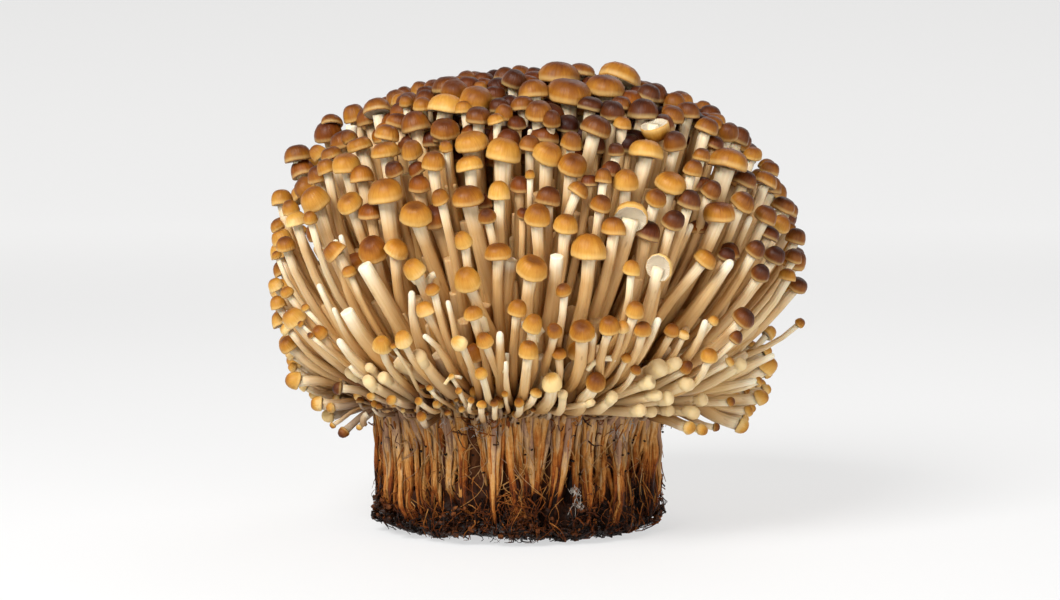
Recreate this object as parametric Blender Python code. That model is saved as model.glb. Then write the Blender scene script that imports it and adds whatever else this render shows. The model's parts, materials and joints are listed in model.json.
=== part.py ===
"""Enoki mushroom cluster: slim mushrooms that fan out in tufts from one matted root base.

Metres, +Z up, the front towards -Y. The origin is the middle of the flat spot under the root base,
on which the cluster stands. Each tuft is one solid: a ribbed core of crowded stems with whole
mushrooms, pins and broken stems growing out of it.
"""

import math

import bmesh
import bpy
import numpy as np

SEED = 11

# Root base: a matted, nearly cylindrical foot with strands down its side.
BASE_RADIUS = 0.0412
BASE_WAIST_RADIUS = 0.0398
BASE_TOP_Z = 0.0340
BASE_TOP_RADIUS = 0.0385
FLAT_RADIUS = 0.0270
RIM_LIFT = 0.0036
RIM_LUMP = 0.0016
STRANDS = 32
STRAND_DEPTH = 0.0010
BASE_COLUMNS = 3 * STRANDS

# Crown: the rounded-square outline through the caps' tops, round an axis a little off the base's.
CROWN_X = 0.0050
CROWN_RADIUS = 0.0750
CROWN_TOP_Z = 0.1285
CROWN_MID_Z = 0.0720
CROWN_LOW_Z = 0.0100
CROWN_POWER = 2.25
SKIRT_ANGLE = math.radians(131)

# Cores: the crowded inner stems, which the mushrooms stand out of.
CORE_RADIUS = 0.0605
CORE_TOP_Z = 0.1050
CORE_LOW_Z = 0.0236
CORE_FLOOR_Z = BASE_TOP_Z + 0.0005
MIDDLE_FLOOR_RADIUS = 0.0120
MIDDLE_SPREAD = 0.24
TUFTS = 11
TUFT_COLUMNS = 5
CORE_ROWS = 6
RIB_DEPTH = 0.0008
TUFT_GAP = 0.0005

# Mushrooms
MUSHROOMS = 257
PATH_POINTS = 60
LEAST_ROOM = 0.0086
DRAWN = 40
SETTLING_STEPS = 60
STEM_SHARE = 0.37
SINK = 0.0055
CLEARANCE = 0.00045
BENT_LENGTH = 0.0150
LARGE_CAP = 0.0085
SMALL_CAP = 0.0060
LYING_LEAN = 80
# Cap width and tilt from straight up, against the angle from straight up of the crown's point.
WIDTH_AT_DEGREES = ((0, 76, 92, 104, 118, 131), (0.0118, 0.0112, 0.0092, 0.0078, 0.0054, 0.0040))
TILT_AT_DEGREES = ((0, 45, 90, 112, 131), (0, 14, 27, 52, 100))
ROOT_SHARE_AT_DEGREES = ((0, 45, 90, 131), (0, 0.17, 0.70, 1.0))
ROOT_RADIUS = 0.0380
TILT_SPREAD = 5
SWAY_SPREAD = 0.10
BEND = 0.36
BROKEN_SHARE = 0.05
BROKEN_WIDTH = 0.0040
NUDGES = (0, 1.2, -1.2, 2.4, -2.4, 3.8, -3.8, 5.5, -5.5)
# Rings up a cap as shares of its width: radius, and height above the top of the stem.
CAP_PROFILE = ((0.50, 0.05), (0.39, 0.36))
PIN_PROFILE = ((0.50, 0.12),)
CAP_HEIGHT = 0.50
CAP_CENTRE = 0.15
CAP_BALLS = ((0.08, 0.52), (0.22, 0.46))

# The eye from which the landmark mushrooms are placed, in front of the cluster and a little above.
EYE = np.array((0.003, -0.827, 0.129))

# Whole mushrooms that show at the front: across and up as seen on the plane y = 0, cap width, and
# the stem's lean to the right in degrees.
LANDMARKS = (
    (-0.0535, 0.1105, 0.0080, -14),
    (-0.0395, 0.1170, 0.0080, -8),
    (-0.0205, 0.1180, 0.0105, 15),
    (-0.0120, 0.1200, 0.0095, 0),
    (0.0040, 0.1220, 0.0085, 0),
    (0.0140, 0.1215, 0.0125, 4),
    (0.0240, 0.1240, 0.0120, 5),
    (0.0360, 0.1205, 0.0080, 8),
    (0.0430, 0.1155, 0.0080, 10),
    (0.0525, 0.1115, 0.0080, 14),
    (-0.0605, 0.1000, 0.0080, -12),
    (-0.0440, 0.0985, 0.0080, -10),
    (-0.0335, 0.1125, 0.0080, -8),
    (-0.0135, 0.1085, 0.0100, -3),
    (-0.0045, 0.1045, 0.0105, 0),
    (0.0080, 0.1045, 0.0088, 3),
    (0.0215, 0.1120, 0.0090, 12),
    (0.0355, 0.1055, 0.0105, 12),
    (0.0585, 0.1025, 0.0115, 14),
    (0.0690, 0.0960, 0.0080, 16),
    (-0.0570, 0.0900, 0.0088, -15),
    (-0.0665, 0.0915, 0.0075, -10),
    (-0.0475, 0.0895, 0.0080, -18),
    (-0.0375, 0.0935, 0.0105, -6),
    (-0.0410, 0.0775, 0.0085, -8),
    (-0.0340, 0.0770, 0.0078, 0),
    (-0.0260, 0.0865, 0.0095, -20),
    (-0.0145, 0.0925, 0.0095, -15),
    (0.0050, 0.0870, 0.0078, -3),
    (-0.0060, 0.0780, 0.0078, 0),
    (0.0035, 0.0725, 0.0090, 8),
    (0.0130, 0.0850, 0.0078, 2),
    (0.0195, 0.0775, 0.0100, 3),
    (0.0313, 0.0880, 0.0095, 5),
    (0.0355, 0.0800, 0.0088, 3),
    (0.0425, 0.0965, 0.0095, 15),
    (0.0560, 0.0880, 0.0092, 18),
    (0.0700, 0.0880, 0.0080, 22),
    (0.0765, 0.0800, 0.0075, 25),
    (0.0520, 0.0750, 0.0070, 35),
    (0.0665, 0.0740, 0.0070, 32),
    (0.0770, 0.0675, 0.0068, 35),
    (0.0630, 0.0585, 0.0068, 40),
    (-0.0145, 0.0690, 0.0080, -20),
    (-0.0650, 0.0785, 0.0070, -15),
    (-0.0640, 0.0650, 0.0050, -35),
    (-0.0386, 0.0510, 0.0055, -10),
    (-0.0097, 0.0520, 0.0050, -20),
    (0.0030, 0.0490, 0.0055, 4),
    (0.0177, 0.0560, 0.0070, 6),
    (0.0253, 0.0560, 0.0060, 8),
    (0.0165, 0.0480, 0.0070, 10),
    (0.0092, 0.0402, 0.0060, 10),
    (0.0430, 0.0545, 0.0050, 20),
    (0.0390, 0.0445, 0.0045, 60),
    (-0.0630, 0.0410, 0.0052, -85),
    (0.0625, 0.0290, 0.0047, 110),
)

# Broken stems that show white at the front: across, up, stem width and lean.
BROKEN = (
    (-0.0435, 0.0735, 0.0045, -28),
    (-0.0025, 0.0750, 0.0042, 8),
    (0.0105, 0.0760, 0.0042, 2),
    (0.0480, 0.0845, 0.0038, 22),
    (0.0645, 0.0865, 0.0038, 20),
    (0.0590, 0.0740, 0.0045, 35),
    (0.0390, 0.0580, 0.0036, 18),
    (-0.0500, 0.0600, 0.0036, -28),
)


def clear_scene():
    for thing in list(bpy.data.objects):
        bpy.data.objects.remove(thing, do_unlink=True)


def material(name, colour, roughness):
    made = bpy.data.materials.new(name)
    made.use_nodes = True
    shader = made.node_tree.nodes["Principled BSDF"]
    shader.inputs["Base Color"].default_value = (*colour, 1)
    shader.inputs["Roughness"].default_value = roughness
    shader.inputs["Metallic"].default_value = 0
    made.diffuse_color = (*colour, 1)
    return made


def make_object(name, shape, materials):
    """A named object from a bmesh, in triangles with its faces outward."""
    bmesh.ops.triangulate(shape, faces=shape.faces)
    bmesh.ops.recalc_face_normals(shape, faces=shape.faces)
    mesh = bpy.data.meshes.new(name)
    shape.to_mesh(mesh)
    shape.free()
    for one in materials:
        mesh.materials.append(one)
    made = bpy.data.objects.new(name, mesh)
    bpy.context.scene.collection.objects.link(made)
    return made


def loft(rings, first=None, last=None, slots=None):
    """A closed bmesh through rings of equal length; each end is a fan to its point, or one flat face."""
    shape = bmesh.new()
    made = [[shape.verts.new(point) for point in ring] for ring in rings]
    count = len(made[0])
    for k in range(len(made) - 1):
        for j in range(count):
            n = (j + 1) % count
            face = shape.faces.new((made[k][j], made[k][n], made[k + 1][n], made[k + 1][j]))
            face.material_index = slots[k] if slots else 0
    for ring, point, slot in ((made[0], first, 0), (made[-1], last, slots[-1] if slots else 0)):
        if point is None:
            shape.faces.new(ring).material_index = slot
            continue
        tip = shape.verts.new(point)
        for j in range(count):
            shape.faces.new((ring[j], ring[(j + 1) % count], tip)).material_index = slot
    return shape


def shell_radius(z, radius, top, low):
    """Radius at height z of the rounded-square dome that is widest at the crown's middle."""
    reach = np.where(z > CROWN_MID_Z, top - CROWN_MID_Z, CROWN_MID_Z - low)
    share = np.clip(np.abs(z - CROWN_MID_Z) / reach, 0, 1)
    return radius * (1 - share**CROWN_POWER) ** (1 / CROWN_POWER)


def core_radius(z):
    return shell_radius(z, CORE_RADIUS, CORE_TOP_Z, CORE_LOW_Z)


def middle_radius(z):
    """Radius at height z of the cone that parts the middle tuft from those round it."""
    return MIDDLE_FLOOR_RADIUS + MIDDLE_SPREAD * (z - CORE_FLOOR_Z)


def crown_point(azimuth, angle):
    """A point on the crown, by its bearing and its angle from straight up."""
    power = 2 / CROWN_POWER
    across = CROWN_RADIUS * np.abs(np.sin(angle)) ** power
    reach = np.where(np.cos(angle) > 0, CROWN_TOP_Z - CROWN_MID_Z, CROWN_MID_Z - CROWN_LOW_Z)
    up = reach * np.sign(np.cos(angle)) * np.abs(np.cos(angle)) ** power
    return np.stack((across * np.cos(azimuth), across * np.sin(azimuth), CROWN_MID_Z + up), axis=-1)


def make_root_base(brown):
    """The foot: strands down its side, a lumpy lower rim that rises off the ground, and a flat spot."""
    turn = np.linspace(0, 2 * math.pi, BASE_COLUMNS, endpoint=False)
    lift = RIM_LIFT + RIM_LUMP * (np.sin(3 * turn + 0.6) + 0.7 * np.sin(7 * turn + 2.0))
    rows = (
        (FLAT_RADIUS, 0.0, 0.0, 0.0),
        (0.0372, 0.0004, 0.8, 0.6),
        (BASE_RADIUS, 0.0036, 1.0, 1.0),
        (BASE_RADIUS - 0.0004, 0.0105, 0.7, 1.0),
        (BASE_WAIST_RADIUS, 0.0185, 0.0, 1.0),
        (BASE_WAIST_RADIUS + 0.0004, 0.0265, 0.0, 1.0),
        (BASE_RADIUS - 0.0004, 0.0318, 0.0, 0.8),
        (BASE_TOP_RADIUS, BASE_TOP_Z, 0.0, 0.0),
    )
    rings = []
    for radius, height, lifted, ribbed in rows:
        rib = 0.6 * np.sin(STRANDS * turn + 3 * np.sin(2 * turn) + 60 * height)
        rib = rib + 0.5 * np.sin(23 * turn + 1.3 + 90 * height)
        out = radius + ribbed * (STRAND_DEPTH * rib + 0.0011 * np.sin(2 * turn + 0.5))
        z = height + lifted * lift
        rings.append(np.stack((out * np.cos(turn), out * np.sin(turn), z), axis=-1))
    shape = loft(rings, first=(0, 0, 0), last=(0, 0, BASE_TOP_Z))
    return make_object("root_base", shape, [brown])


def make_middle_core(materials):
    """The core of the tuft that rises straight up the middle: a spreading cone with a domed top."""
    columns = 18
    turn = np.linspace(0, 2 * math.pi, columns, endpoint=False)
    rim = rim_height()
    heights = np.concatenate((np.linspace(CORE_FLOOR_Z, rim, 5), (rim + (CORE_TOP_Z - rim) * 0.75,)))
    rings = []
    for z in heights:
        out = min(middle_radius(z), float(core_radius(z))) - TUFT_GAP / 2
        ripple = out + RIB_DEPTH * (np.sin(9 * turn) * 0.4 - 0.4)
        flat = np.full(columns, z)
        rings.append(np.stack((CROWN_X + ripple * np.cos(turn), ripple * np.sin(turn), flat), axis=-1))
    shape = loft(rings, last=(CROWN_X, 0, CORE_TOP_Z))
    return make_object("middle_tuft", shape, materials)


def rim_height():
    """Height at which the middle tuft's cone meets the top of the cores."""
    z = np.linspace(CROWN_MID_Z, CORE_TOP_Z, 400)
    return float(z[np.argmin(np.abs(middle_radius(z) - core_radius(z)))])


def make_tuft_core(name, start, end, materials):
    """The core of one tuft of the ring: a sector with stem-like ribs down its outer wall."""
    rim = rim_height()
    heights = np.linspace(0, 1, CORE_ROWS) ** 0.9 * (rim - CORE_FLOOR_Z) + CORE_FLOOR_Z
    middle = (start + end) / 2
    rings = []
    for k in range(TUFT_COLUMNS):
        share = k / (TUFT_COLUMNS - 1)
        turn = start + (end - start) * share
        rib = RIB_DEPTH * (1 if k % 2 else -1)
        outer = [(float(core_radius(z)) + rib, z) for z in heights]
        inner = [(middle_radius(z) + TUFT_GAP / 2 + 0.0006, z) for z in heights[::-3]]
        outer[-1] = (outer[-1][0] - rib + 0.0008, rim + 0.0002)
        side = TUFT_GAP / 2 * (1 - 2 * share)
        loop = []
        for radius, z in outer + inner:
            along = np.array((math.cos(turn), math.sin(turn))) * radius
            away = np.array((-math.sin(middle), math.cos(middle))) * side
            loop.append((CROWN_X + along[0] + away[0], along[1] + away[1], z))
        rings.append(loop)
    return make_object(name, loft(rings), materials)


def sight(across, up, inset):
    """The first point, on the line from the eye through (across, 0, up), that lies inside the crown."""
    target = np.array((across, 0, up))
    steps = np.linspace(0.86, 1.0, 400)[:, None]
    line = EYE + (target - EYE) * steps
    out = np.hypot(line[:, 0] - CROWN_X, line[:, 1])
    shell = shell_radius(line[:, 2], CROWN_RADIUS, CROWN_TOP_Z, CROWN_LOW_Z) - inset
    inside = np.flatnonzero(out < shell)
    point = line[inside[0]] if len(inside) else line[np.argmin(out - shell)]
    return point - (CROWN_X, 0, 0)


def crown_angle(point):
    """The angle from straight up of the crown point nearest in direction to this one."""
    angles = np.linspace(0, SKIRT_ANGLE, 300)
    outline = crown_point(np.zeros(300), angles)
    out = np.hypot(point[0], point[1])
    return angles[np.argmin((outline[:, 0] - out) ** 2 + (outline[:, 2] - point[2]) ** 2)]


def at_angle(angle, table):
    return np.interp(np.degrees(angle), *table)


def scatter(random, placed, widths, count):
    """Crown points spread evenly: each is, of many drawn, the farthest from those placed, in cap widths."""
    angles = np.linspace(0, SKIRT_ANGLE, 400)
    outline = crown_point(np.zeros(400), angles)
    strip = np.hypot(np.diff(outline[:, 0]), np.diff(outline[:, 2]))
    area = np.concatenate(((0,), np.cumsum(strip * (outline[1:, 0] + outline[:-1, 0]))))
    points, sizes = list(placed), list(widths)
    while len(points) < count:
        angle = np.interp(random.random(DRAWN) * area[-1], area, angles)
        bearing = random.random(DRAWN) * 2 * math.pi
        drawn = crown_point(bearing, angle)
        size = at_angle(angle, WIDTH_AT_DEGREES)
        apart = np.linalg.norm(drawn[:, None] - np.array(points)[None], axis=2)
        room = np.maximum(size, LEAST_ROOM)[:, None] + np.maximum(sizes, LEAST_ROOM)[None]
        nearest = (apart / room).min(axis=1)
        best = int(np.argmax(nearest))
        spread = 0.86 + 0.26 * random.random()
        points.append(drawn[best])
        sizes.append(size[best] * spread)
    return np.array(points), np.array(sizes)


def settle(points, sizes, fixed):
    """Caps that touch push each other apart, and none rises above the crown's outline."""
    free = np.where(np.arange(len(points)) < fixed, 0.1, 1.0)
    for _ in range(SETTLING_STEPS):
        away = points[:, None] - points[None]
        apart = np.linalg.norm(away, axis=2) + np.eye(len(points))
        need = (sizes[:, None] + sizes[None]) / 2 + CLEARANCE
        push = np.clip(need - apart, 0, None) * (1 - np.eye(len(points)))
        share = free[:, None] / (free[:, None] + free[None])
        points = points + (away / apart[..., None] * (push * share)[..., None]).sum(axis=1) * 0.6
        out = np.hypot(points[:, 0], points[:, 1])
        shell = shell_radius(points[:, 2], CROWN_RADIUS, CROWN_TOP_Z, CROWN_LOW_Z) - sizes * 0.3
        shrink = np.where(out > shell, np.maximum(shell, 0.001) / np.maximum(out, 0.001), 1)
        points[:, :2] *= shrink[:, None]
        points[:, 2] = np.minimum(points[:, 2], CROWN_TOP_Z - sizes * 0.3)
    return points


def bezier(start, first, second, end, share):
    share = np.asarray(share)[:, None]
    left = 1 - share
    return left**3 * start + 3 * left**2 * share * first + 3 * left * share**2 * second + share**3 * end


def unit(vector):
    return vector / np.linalg.norm(vector)


def outside_core(points):
    """How far each point stands out of the cores' outer surface, on its line from the crown's middle."""
    out = np.hypot(points[:, 0], points[:, 1])
    up = points[:, 2] - CROWN_MID_Z
    reach = np.where(up > 0, CORE_TOP_Z - CROWN_MID_Z, CROWN_MID_Z - CORE_LOW_Z)
    level = (out / CORE_RADIUS) ** CROWN_POWER + (np.abs(up) / reach) ** CROWN_POWER
    return np.hypot(out, up) * (1 - level ** (-1 / CROWN_POWER))


class Mushroom:
    """One mushroom: its visible path from the core to the cap, and what it needs to be drawn."""

    def __init__(self, tip, width, lean, random, capped=True):
        self.capped = capped
        self.width = width
        angle = crown_angle(tip)
        bearing = math.atan2(tip[1], tip[0])
        tilt = math.radians(at_angle(angle, TILT_AT_DEGREES) + random.normal(0, TILT_SPREAD))
        radial = np.array((math.cos(bearing), math.sin(bearing), 0))
        aside = np.array((-math.sin(bearing), math.cos(bearing), 0))
        up = np.array((0, 0, 1))
        sway = random.normal(0, SWAY_SPREAD)
        self.axis = unit(radial * math.sin(tilt) + up * math.cos(tilt) + aside * sway)
        if lean is not None and abs(lean) < LYING_LEAN:
            seen = math.radians(lean)
            self.axis = unit(np.array((math.sin(seen), radial[1] * math.sin(tilt), math.cos(seen))))
        self.neck = tip - self.axis * (CAP_CENTRE * width if capped else 0)
        self.stem = width * STEM_SHARE / 2 if capped else width / 2
        root = radial * ROOT_RADIUS * at_angle(angle, ROOT_SHARE_AT_DEGREES) + up * CORE_FLOOR_Z
        chord = unit(self.neck - root)
        reach = np.linalg.norm(self.neck - root)
        start_axis = unit(2 * np.dot(chord, self.axis) * chord - self.axis)
        first = root + start_axis * reach * BEND
        second = self.neck - self.axis * reach * BEND
        path = bezier(root, first, second, self.neck, np.linspace(0, 1, PATH_POINTS))
        inside = np.flatnonzero(outside_core(path) < 0)
        self.grows = len(inside) > 0 and inside[-1] < PATH_POINTS - 3
        if not self.grows:
            return
        self.path = path[inside[-1] :]
        exit_point = self.path[0]
        self.root = exit_point - unit(self.path[len(self.path) // 2] - exit_point) * SINK
        self.root[2] = max(self.root[2], CORE_FLOOR_Z + self.stem * 1.5)

    def spheres(self):
        """Balls along the mushroom, for telling how close two of them come."""
        steps = np.linspace(0, len(self.path) - 1, 9).astype(int)
        centres = np.vstack((self.root, self.path[steps]))
        radii = np.full(len(centres), self.stem)
        if self.capped:
            caps = [self.neck + self.axis * height * self.width for height, _ in CAP_BALLS]
            centres = np.vstack((centres, caps))
            radii = np.append(radii, [radius * self.width for _, radius in CAP_BALLS])
        return centres, radii


def tuft_at(point):
    """Index of the tuft that holds this point of the core: 0 is the middle one."""
    if np.hypot(point[0], point[1]) < middle_radius(point[2]):
        return 0
    share = (math.atan2(point[1], point[0]) / (2 * math.pi)) % 1
    return 1 + int(share * TUFTS) % TUFTS


def side_room(points, radii, tuft):
    """Least room between balls and the sides of their own tuft; negative where one reaches over."""
    out = np.hypot(points[:, 0], points[:, 1])
    cone = middle_radius(points[:, 2])
    slope = math.hypot(1, MIDDLE_SPREAD)
    if tuft == 0:
        return ((cone - out) / slope - radii).min()
    middle = (tuft - 0.5) / TUFTS * 2 * math.pi
    turn = np.arctan2(points[:, 1], points[:, 0]) - middle
    turn = np.abs((turn + math.pi) % (2 * math.pi) - math.pi)
    sides = out * np.sin(math.pi / TUFTS - turn) - radii
    return min(sides.min(), ((out - cone) / slope - radii).min())


def stands_clear(mushroom, others):
    """Whether a mushroom keeps its root in its own tuft and clears all that belongs to the others."""
    centres, radii = mushroom.spheres()
    rooted = side_room(centres[:2], radii[:2], mushroom.tuft) > CLEARANCE
    over = outside_core(centres) - radii > CLEARANCE + RIB_DEPTH
    within = np.array([side_room(c[None], r[None], mushroom.tuft) for c, r in zip(centres, radii)]) > 0
    if not rooted or not (over | within)[2:].all():
        return False
    if (centres[:, 2] - radii).min() < CORE_FLOOR_Z and np.hypot(*centres[:2, :2].T).min() < BASE_RADIUS:
        return False
    for other in others:
        apart = np.linalg.norm(centres[:, None] - other.balls[0][None], axis=2)
        gap = apart - radii[:, None] - other.balls[1]
        least = CLEARANCE if other.tuft != mushroom.tuft else -0.35 * min(mushroom.width, other.width)
        if gap.min() < least:
            return False
    return True


def turned(point, angle):
    c, s = math.cos(angle), math.sin(angle)
    return np.array((point[0] * c - point[1] * s, point[0] * s + point[1] * c, point[2]))


def grow():
    """All the mushrooms that find room, the ones seen at the front first."""
    random = np.random.default_rng(SEED)
    shown = [(sight(x, z, 0.4 * w), w, lean, True) for x, z, w, lean in LANDMARKS]
    shown += [(sight(x, z, 0.003), w, lean, False) for x, z, w, lean in BROKEN]
    placed = [one[0] for one in shown]
    points, sizes = scatter(random, placed, [one[1] for one in shown], MUSHROOMS)
    points = settle(points, sizes, len(shown))
    grown = []
    for k, (tip, width) in enumerate(zip(points, sizes)):
        lean, capped = shown[k][2:] if k < len(shown) else (None, random.random() > BROKEN_SHARE)
        if k >= len(shown) and not capped:
            width = BROKEN_WIDTH
        for nudge in NUDGES:
            one = Mushroom(turned(tip, math.radians(nudge)), width, lean, random, capped)
            if not one.grows:
                continue
            one.tuft = tuft_at(one.path[0])
            if stands_clear(one, grown):
                one.balls = one.spheres()
                grown.append(one)
                break
    return grown


def ring_frames(path):
    """Two directions across the path at each of its points, carried along without twisting."""
    ahead = np.gradient(path, axis=0)
    ahead /= np.linalg.norm(ahead, axis=1)[:, None]
    across = unit(np.cross(ahead[0], (0.31, 0.87, 0.38)))
    frames = []
    for direction in ahead:
        across = unit(across - direction * np.dot(across, direction))
        frames.append((across, np.cross(direction, across)))
    return frames


def mushroom_object(one, name, materials):
    """A stem swept from its sunk root along the path, with a domed cap or a blunt broken end."""
    sides = 6 if one.width > LARGE_CAP else 5
    length = np.linalg.norm(np.diff(one.path, axis=0), axis=1).sum()
    bends = 3 if length > BENT_LENGTH else 2
    steps = np.linspace(0, len(one.path) - 1, bends).astype(int)[1:]
    path = np.vstack((one.root, one.path[steps]))
    turn = np.linspace(0, 2 * math.pi, sides, endpoint=False)
    frames = ring_frames(path)
    across = unit(frames[-1][0] - one.axis * np.dot(frames[-1][0], one.axis))
    upright = np.cross(one.axis, across)
    frames[-1] = (across, upright)
    rings = []
    for centre, (u, v), share in zip(path, frames, np.linspace(1.08, 0.92, len(path))):
        rings.append(centre + one.stem * share * (np.outer(np.cos(turn), u) + np.outer(np.sin(turn), v)))
    slots = [0] * (len(path) - 1)
    if not one.capped:
        return make_object(name, loft(rings, last=path[-1] + one.axis * 0.0006, slots=slots), materials)
    profile = CAP_PROFILE if one.width > SMALL_CAP else PIN_PROFILE
    for radius, height in profile:
        ring = one.width * radius * (np.outer(np.cos(turn), across) + np.outer(np.sin(turn), upright))
        rings.append(one.neck + one.axis * one.width * height + ring)
        slots.append(1 if len(slots) >= len(path) else 0)
    tip = one.neck + one.axis * one.width * CAP_HEIGHT
    return make_object(name, loft(rings, last=tip, slots=slots), materials)


def fuse(core, grown, materials):
    """Joins the mushrooms of one tuft to its core in one Boolean union, and removes the loose ones."""
    bunch = bpy.data.collections.new(core.name + "_mushrooms")
    bpy.context.scene.collection.children.link(bunch)
    for k, one in enumerate(grown):
        loose = mushroom_object(one, f"{core.name}_{k}", materials)
        loose.location.x = CROWN_X
        bpy.context.scene.collection.objects.unlink(loose)
        bunch.objects.link(loose)
    union = core.modifiers.new("Grown together", "BOOLEAN")
    union.operation = "UNION"
    union.operand_type = "COLLECTION"
    union.collection = bunch
    union.solver = "MANIFOLD"
    bpy.context.view_layer.update()
    graph = bpy.context.evaluated_depsgraph_get()
    joined = bpy.data.meshes.new_from_object(core.evaluated_get(graph))
    core.modifiers.remove(union)
    core.data = joined
    for loose in list(bunch.objects):
        bpy.data.objects.remove(loose, do_unlink=True)
    bpy.data.collections.remove(bunch)


def main():
    clear_scene()
    brown = material("matted_root", (0.25, 0.12, 0.05), 0.85)
    flesh = [material("stem_cream", (0.80, 0.62, 0.38), 0.6), material("cap_ochre", (0.62, 0.27, 0.06), 0.4)]
    base = make_root_base(brown)
    cores = [make_middle_core(flesh)]
    for k in range(TUFTS):
        start, end = k / TUFTS * 2 * math.pi, (k + 1) / TUFTS * 2 * math.pi
        cores.append(make_tuft_core(f"tuft_{k + 1:02d}", start, end, flesh))
    grown = grow()
    for k, core in enumerate(cores):
        fuse(core, [one for one in grown if one.tuft == k], flesh)
    for thing in (base, *cores):
        thing.data.shade_smooth()
        thing.data.set_sharp_from_angle(angle=math.radians(50))


main()
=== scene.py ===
"""Enoki mushroom cluster: the finished surfaces, materials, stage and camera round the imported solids.

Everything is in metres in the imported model's frame: +Z up, the front towards -Y, the origin in the
middle of the flat spot under the root base. The caps and stems that show at the front are placed as
seen from the camera, and the rest are grown by a seeded rule on the same crown.
"""

import functools
import json
import math

import bpy
import numpy as np
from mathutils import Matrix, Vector

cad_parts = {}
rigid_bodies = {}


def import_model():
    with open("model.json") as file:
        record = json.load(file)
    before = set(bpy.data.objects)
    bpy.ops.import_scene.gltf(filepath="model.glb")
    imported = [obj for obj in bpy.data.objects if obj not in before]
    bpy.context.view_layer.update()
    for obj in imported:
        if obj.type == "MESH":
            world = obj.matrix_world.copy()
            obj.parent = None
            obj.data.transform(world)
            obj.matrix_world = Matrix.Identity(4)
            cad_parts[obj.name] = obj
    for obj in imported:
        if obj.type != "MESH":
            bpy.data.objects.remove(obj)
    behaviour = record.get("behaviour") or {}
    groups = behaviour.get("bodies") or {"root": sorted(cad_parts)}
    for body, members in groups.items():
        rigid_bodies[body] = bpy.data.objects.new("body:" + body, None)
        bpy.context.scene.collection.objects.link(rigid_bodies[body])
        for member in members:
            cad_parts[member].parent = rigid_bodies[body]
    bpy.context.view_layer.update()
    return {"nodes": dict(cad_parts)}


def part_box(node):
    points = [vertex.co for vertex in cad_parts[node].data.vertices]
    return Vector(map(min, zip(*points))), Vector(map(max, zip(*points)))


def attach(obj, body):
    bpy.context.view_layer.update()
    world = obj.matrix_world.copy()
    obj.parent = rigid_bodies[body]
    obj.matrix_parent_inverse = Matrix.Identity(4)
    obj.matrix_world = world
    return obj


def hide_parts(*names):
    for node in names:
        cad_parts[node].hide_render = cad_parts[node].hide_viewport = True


bl_info = {
    "name": "Enoki Mushroom Cluster",
    "version": (1, 0, 0),
    "blender": (4, 5, 0),
    "location": "3D Viewport > Sidebar > Enoki",
    "description": "Grows a cluster of enoki mushrooms on a matted root base",
    "category": "Add Mesh",
}

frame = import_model()
BODY = "root"
TUFT_NODES = ["middle_tuft"] + sorted(name for name in frame["nodes"] if name.startswith("tuft_"))
RING = len(TUFT_NODES) - 1

# Crown: the rounded-square outline through the caps' tops, round an axis a little off the base's.
CROWN_X = 0.0050
CROWN_RADIUS = 0.0750
CROWN_TOP_Z = 0.1285
CROWN_MID_Z = 0.0720
CROWN_LOW_Z = 0.0100
CROWN_POWER = 2.25
SKIRT_ANGLE = math.radians(131)
BASE_TOP_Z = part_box("root_base")[1][2]
BASE_RADIUS = 0.0412

# Camera: the aim, and the eye in front of it and a few degrees above.
AIM = np.array((0.0030, 0.0, 0.0638))
EYE_DISTANCE = 0.83
EYE_ELEVATION = math.radians(4.5)
LENS_MM = 100.3
EYE = AIM + EYE_DISTANCE * np.array((0, -math.cos(EYE_ELEVATION), math.sin(EYE_ELEVATION)))

# Growth: how far out a mushroom's foot stands, and its tilt, width and tone, by its angle from
# straight up in degrees
ROOT_RADIUS = 0.0385
ROOT_SHARE_AT_DEGREES = ((0, 45, 90, 131), (0, 0.24, 0.74, 1.0))
TILT_AT_DEGREES = ((0, 45, 90, 112, 131), (0, 13, 25, 48, 98))
WIDTH_AT_DEGREES = ((0, 70, 92, 104, 118, 131), (0.0078, 0.0074, 0.0066, 0.0056, 0.0043, 0.0036))
TONE_AT_DEGREES = ((0, 60, 90, 108, 131), (0.74, 0.68, 0.55, 0.35, 0.25))
PATH_POINTS = 40

# Mushrooms
SEED = 11
ROOT_SHARE_DRAWN = (0.86, 1.0)
WAVES_ALONG = (0.8, 1.6)
TILT_SPREAD = 4
SWAY_SPREAD = 0.07
NOD_SPREAD = 0.15
STEM_CAP = 0.0045
STEM_RADIUS = 0.00108
STEM_POWER = 0.85
STEM_VARY = 0.10
CLUB_TONE = 0.20
CLUB_WIDTH = 0.0050
CLUB_STEM = 0.39
CLUB_SWELL = 1.28
LOW_STEM_AT_DEGREES = ((0, 96, 112, 131), (0, 0.0, 0.30, 0.36))
CAP_CENTRE = 0.15
ROOT_Z = BASE_TOP_Z + 0.0006
ROOT_SPREAD = 0.0012
LEAST_RISE = 0.46
BEND = 0.36
WAVE_SPREAD = 0.0006
TOWARDS_EYE = 0.3

# How crowded mushrooms may stand
BALLS_ON_STEM = 8
LOWEST_BALL = 0.3
CAP_BALL_HEIGHTS = (0.12, 0.30)
CAP_BALL_RADII = (0.46, 0.34)
NEARBY = 0.034
TOUCH = 0.93
CAP_ON_STEM = 0.7
STEM_ON_STEM = 0.12
CLEAR = 1e-4

# Mushrooms read from the front
SIGHT_SHARES = (0.86, 1.0)
SIGHT_STEPS = 400
DEPTH_COST = 0.06
DEEPEST_SEEN = 0.016
DEPTH_STEP = 0.0008
CAP_INSET = 0.38
TURNED_INSET = 0.4
CAP_RANK = 1.5
BROKEN_RANK = 3.0
PIN_INSET = 0.0070
BROKEN_INSET = 0.0030
SHOWN_STEM = 0.034
SHOWN_LEAST = 0.004
SHOWN_FADE_Z = (0.104, 0.072)

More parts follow.
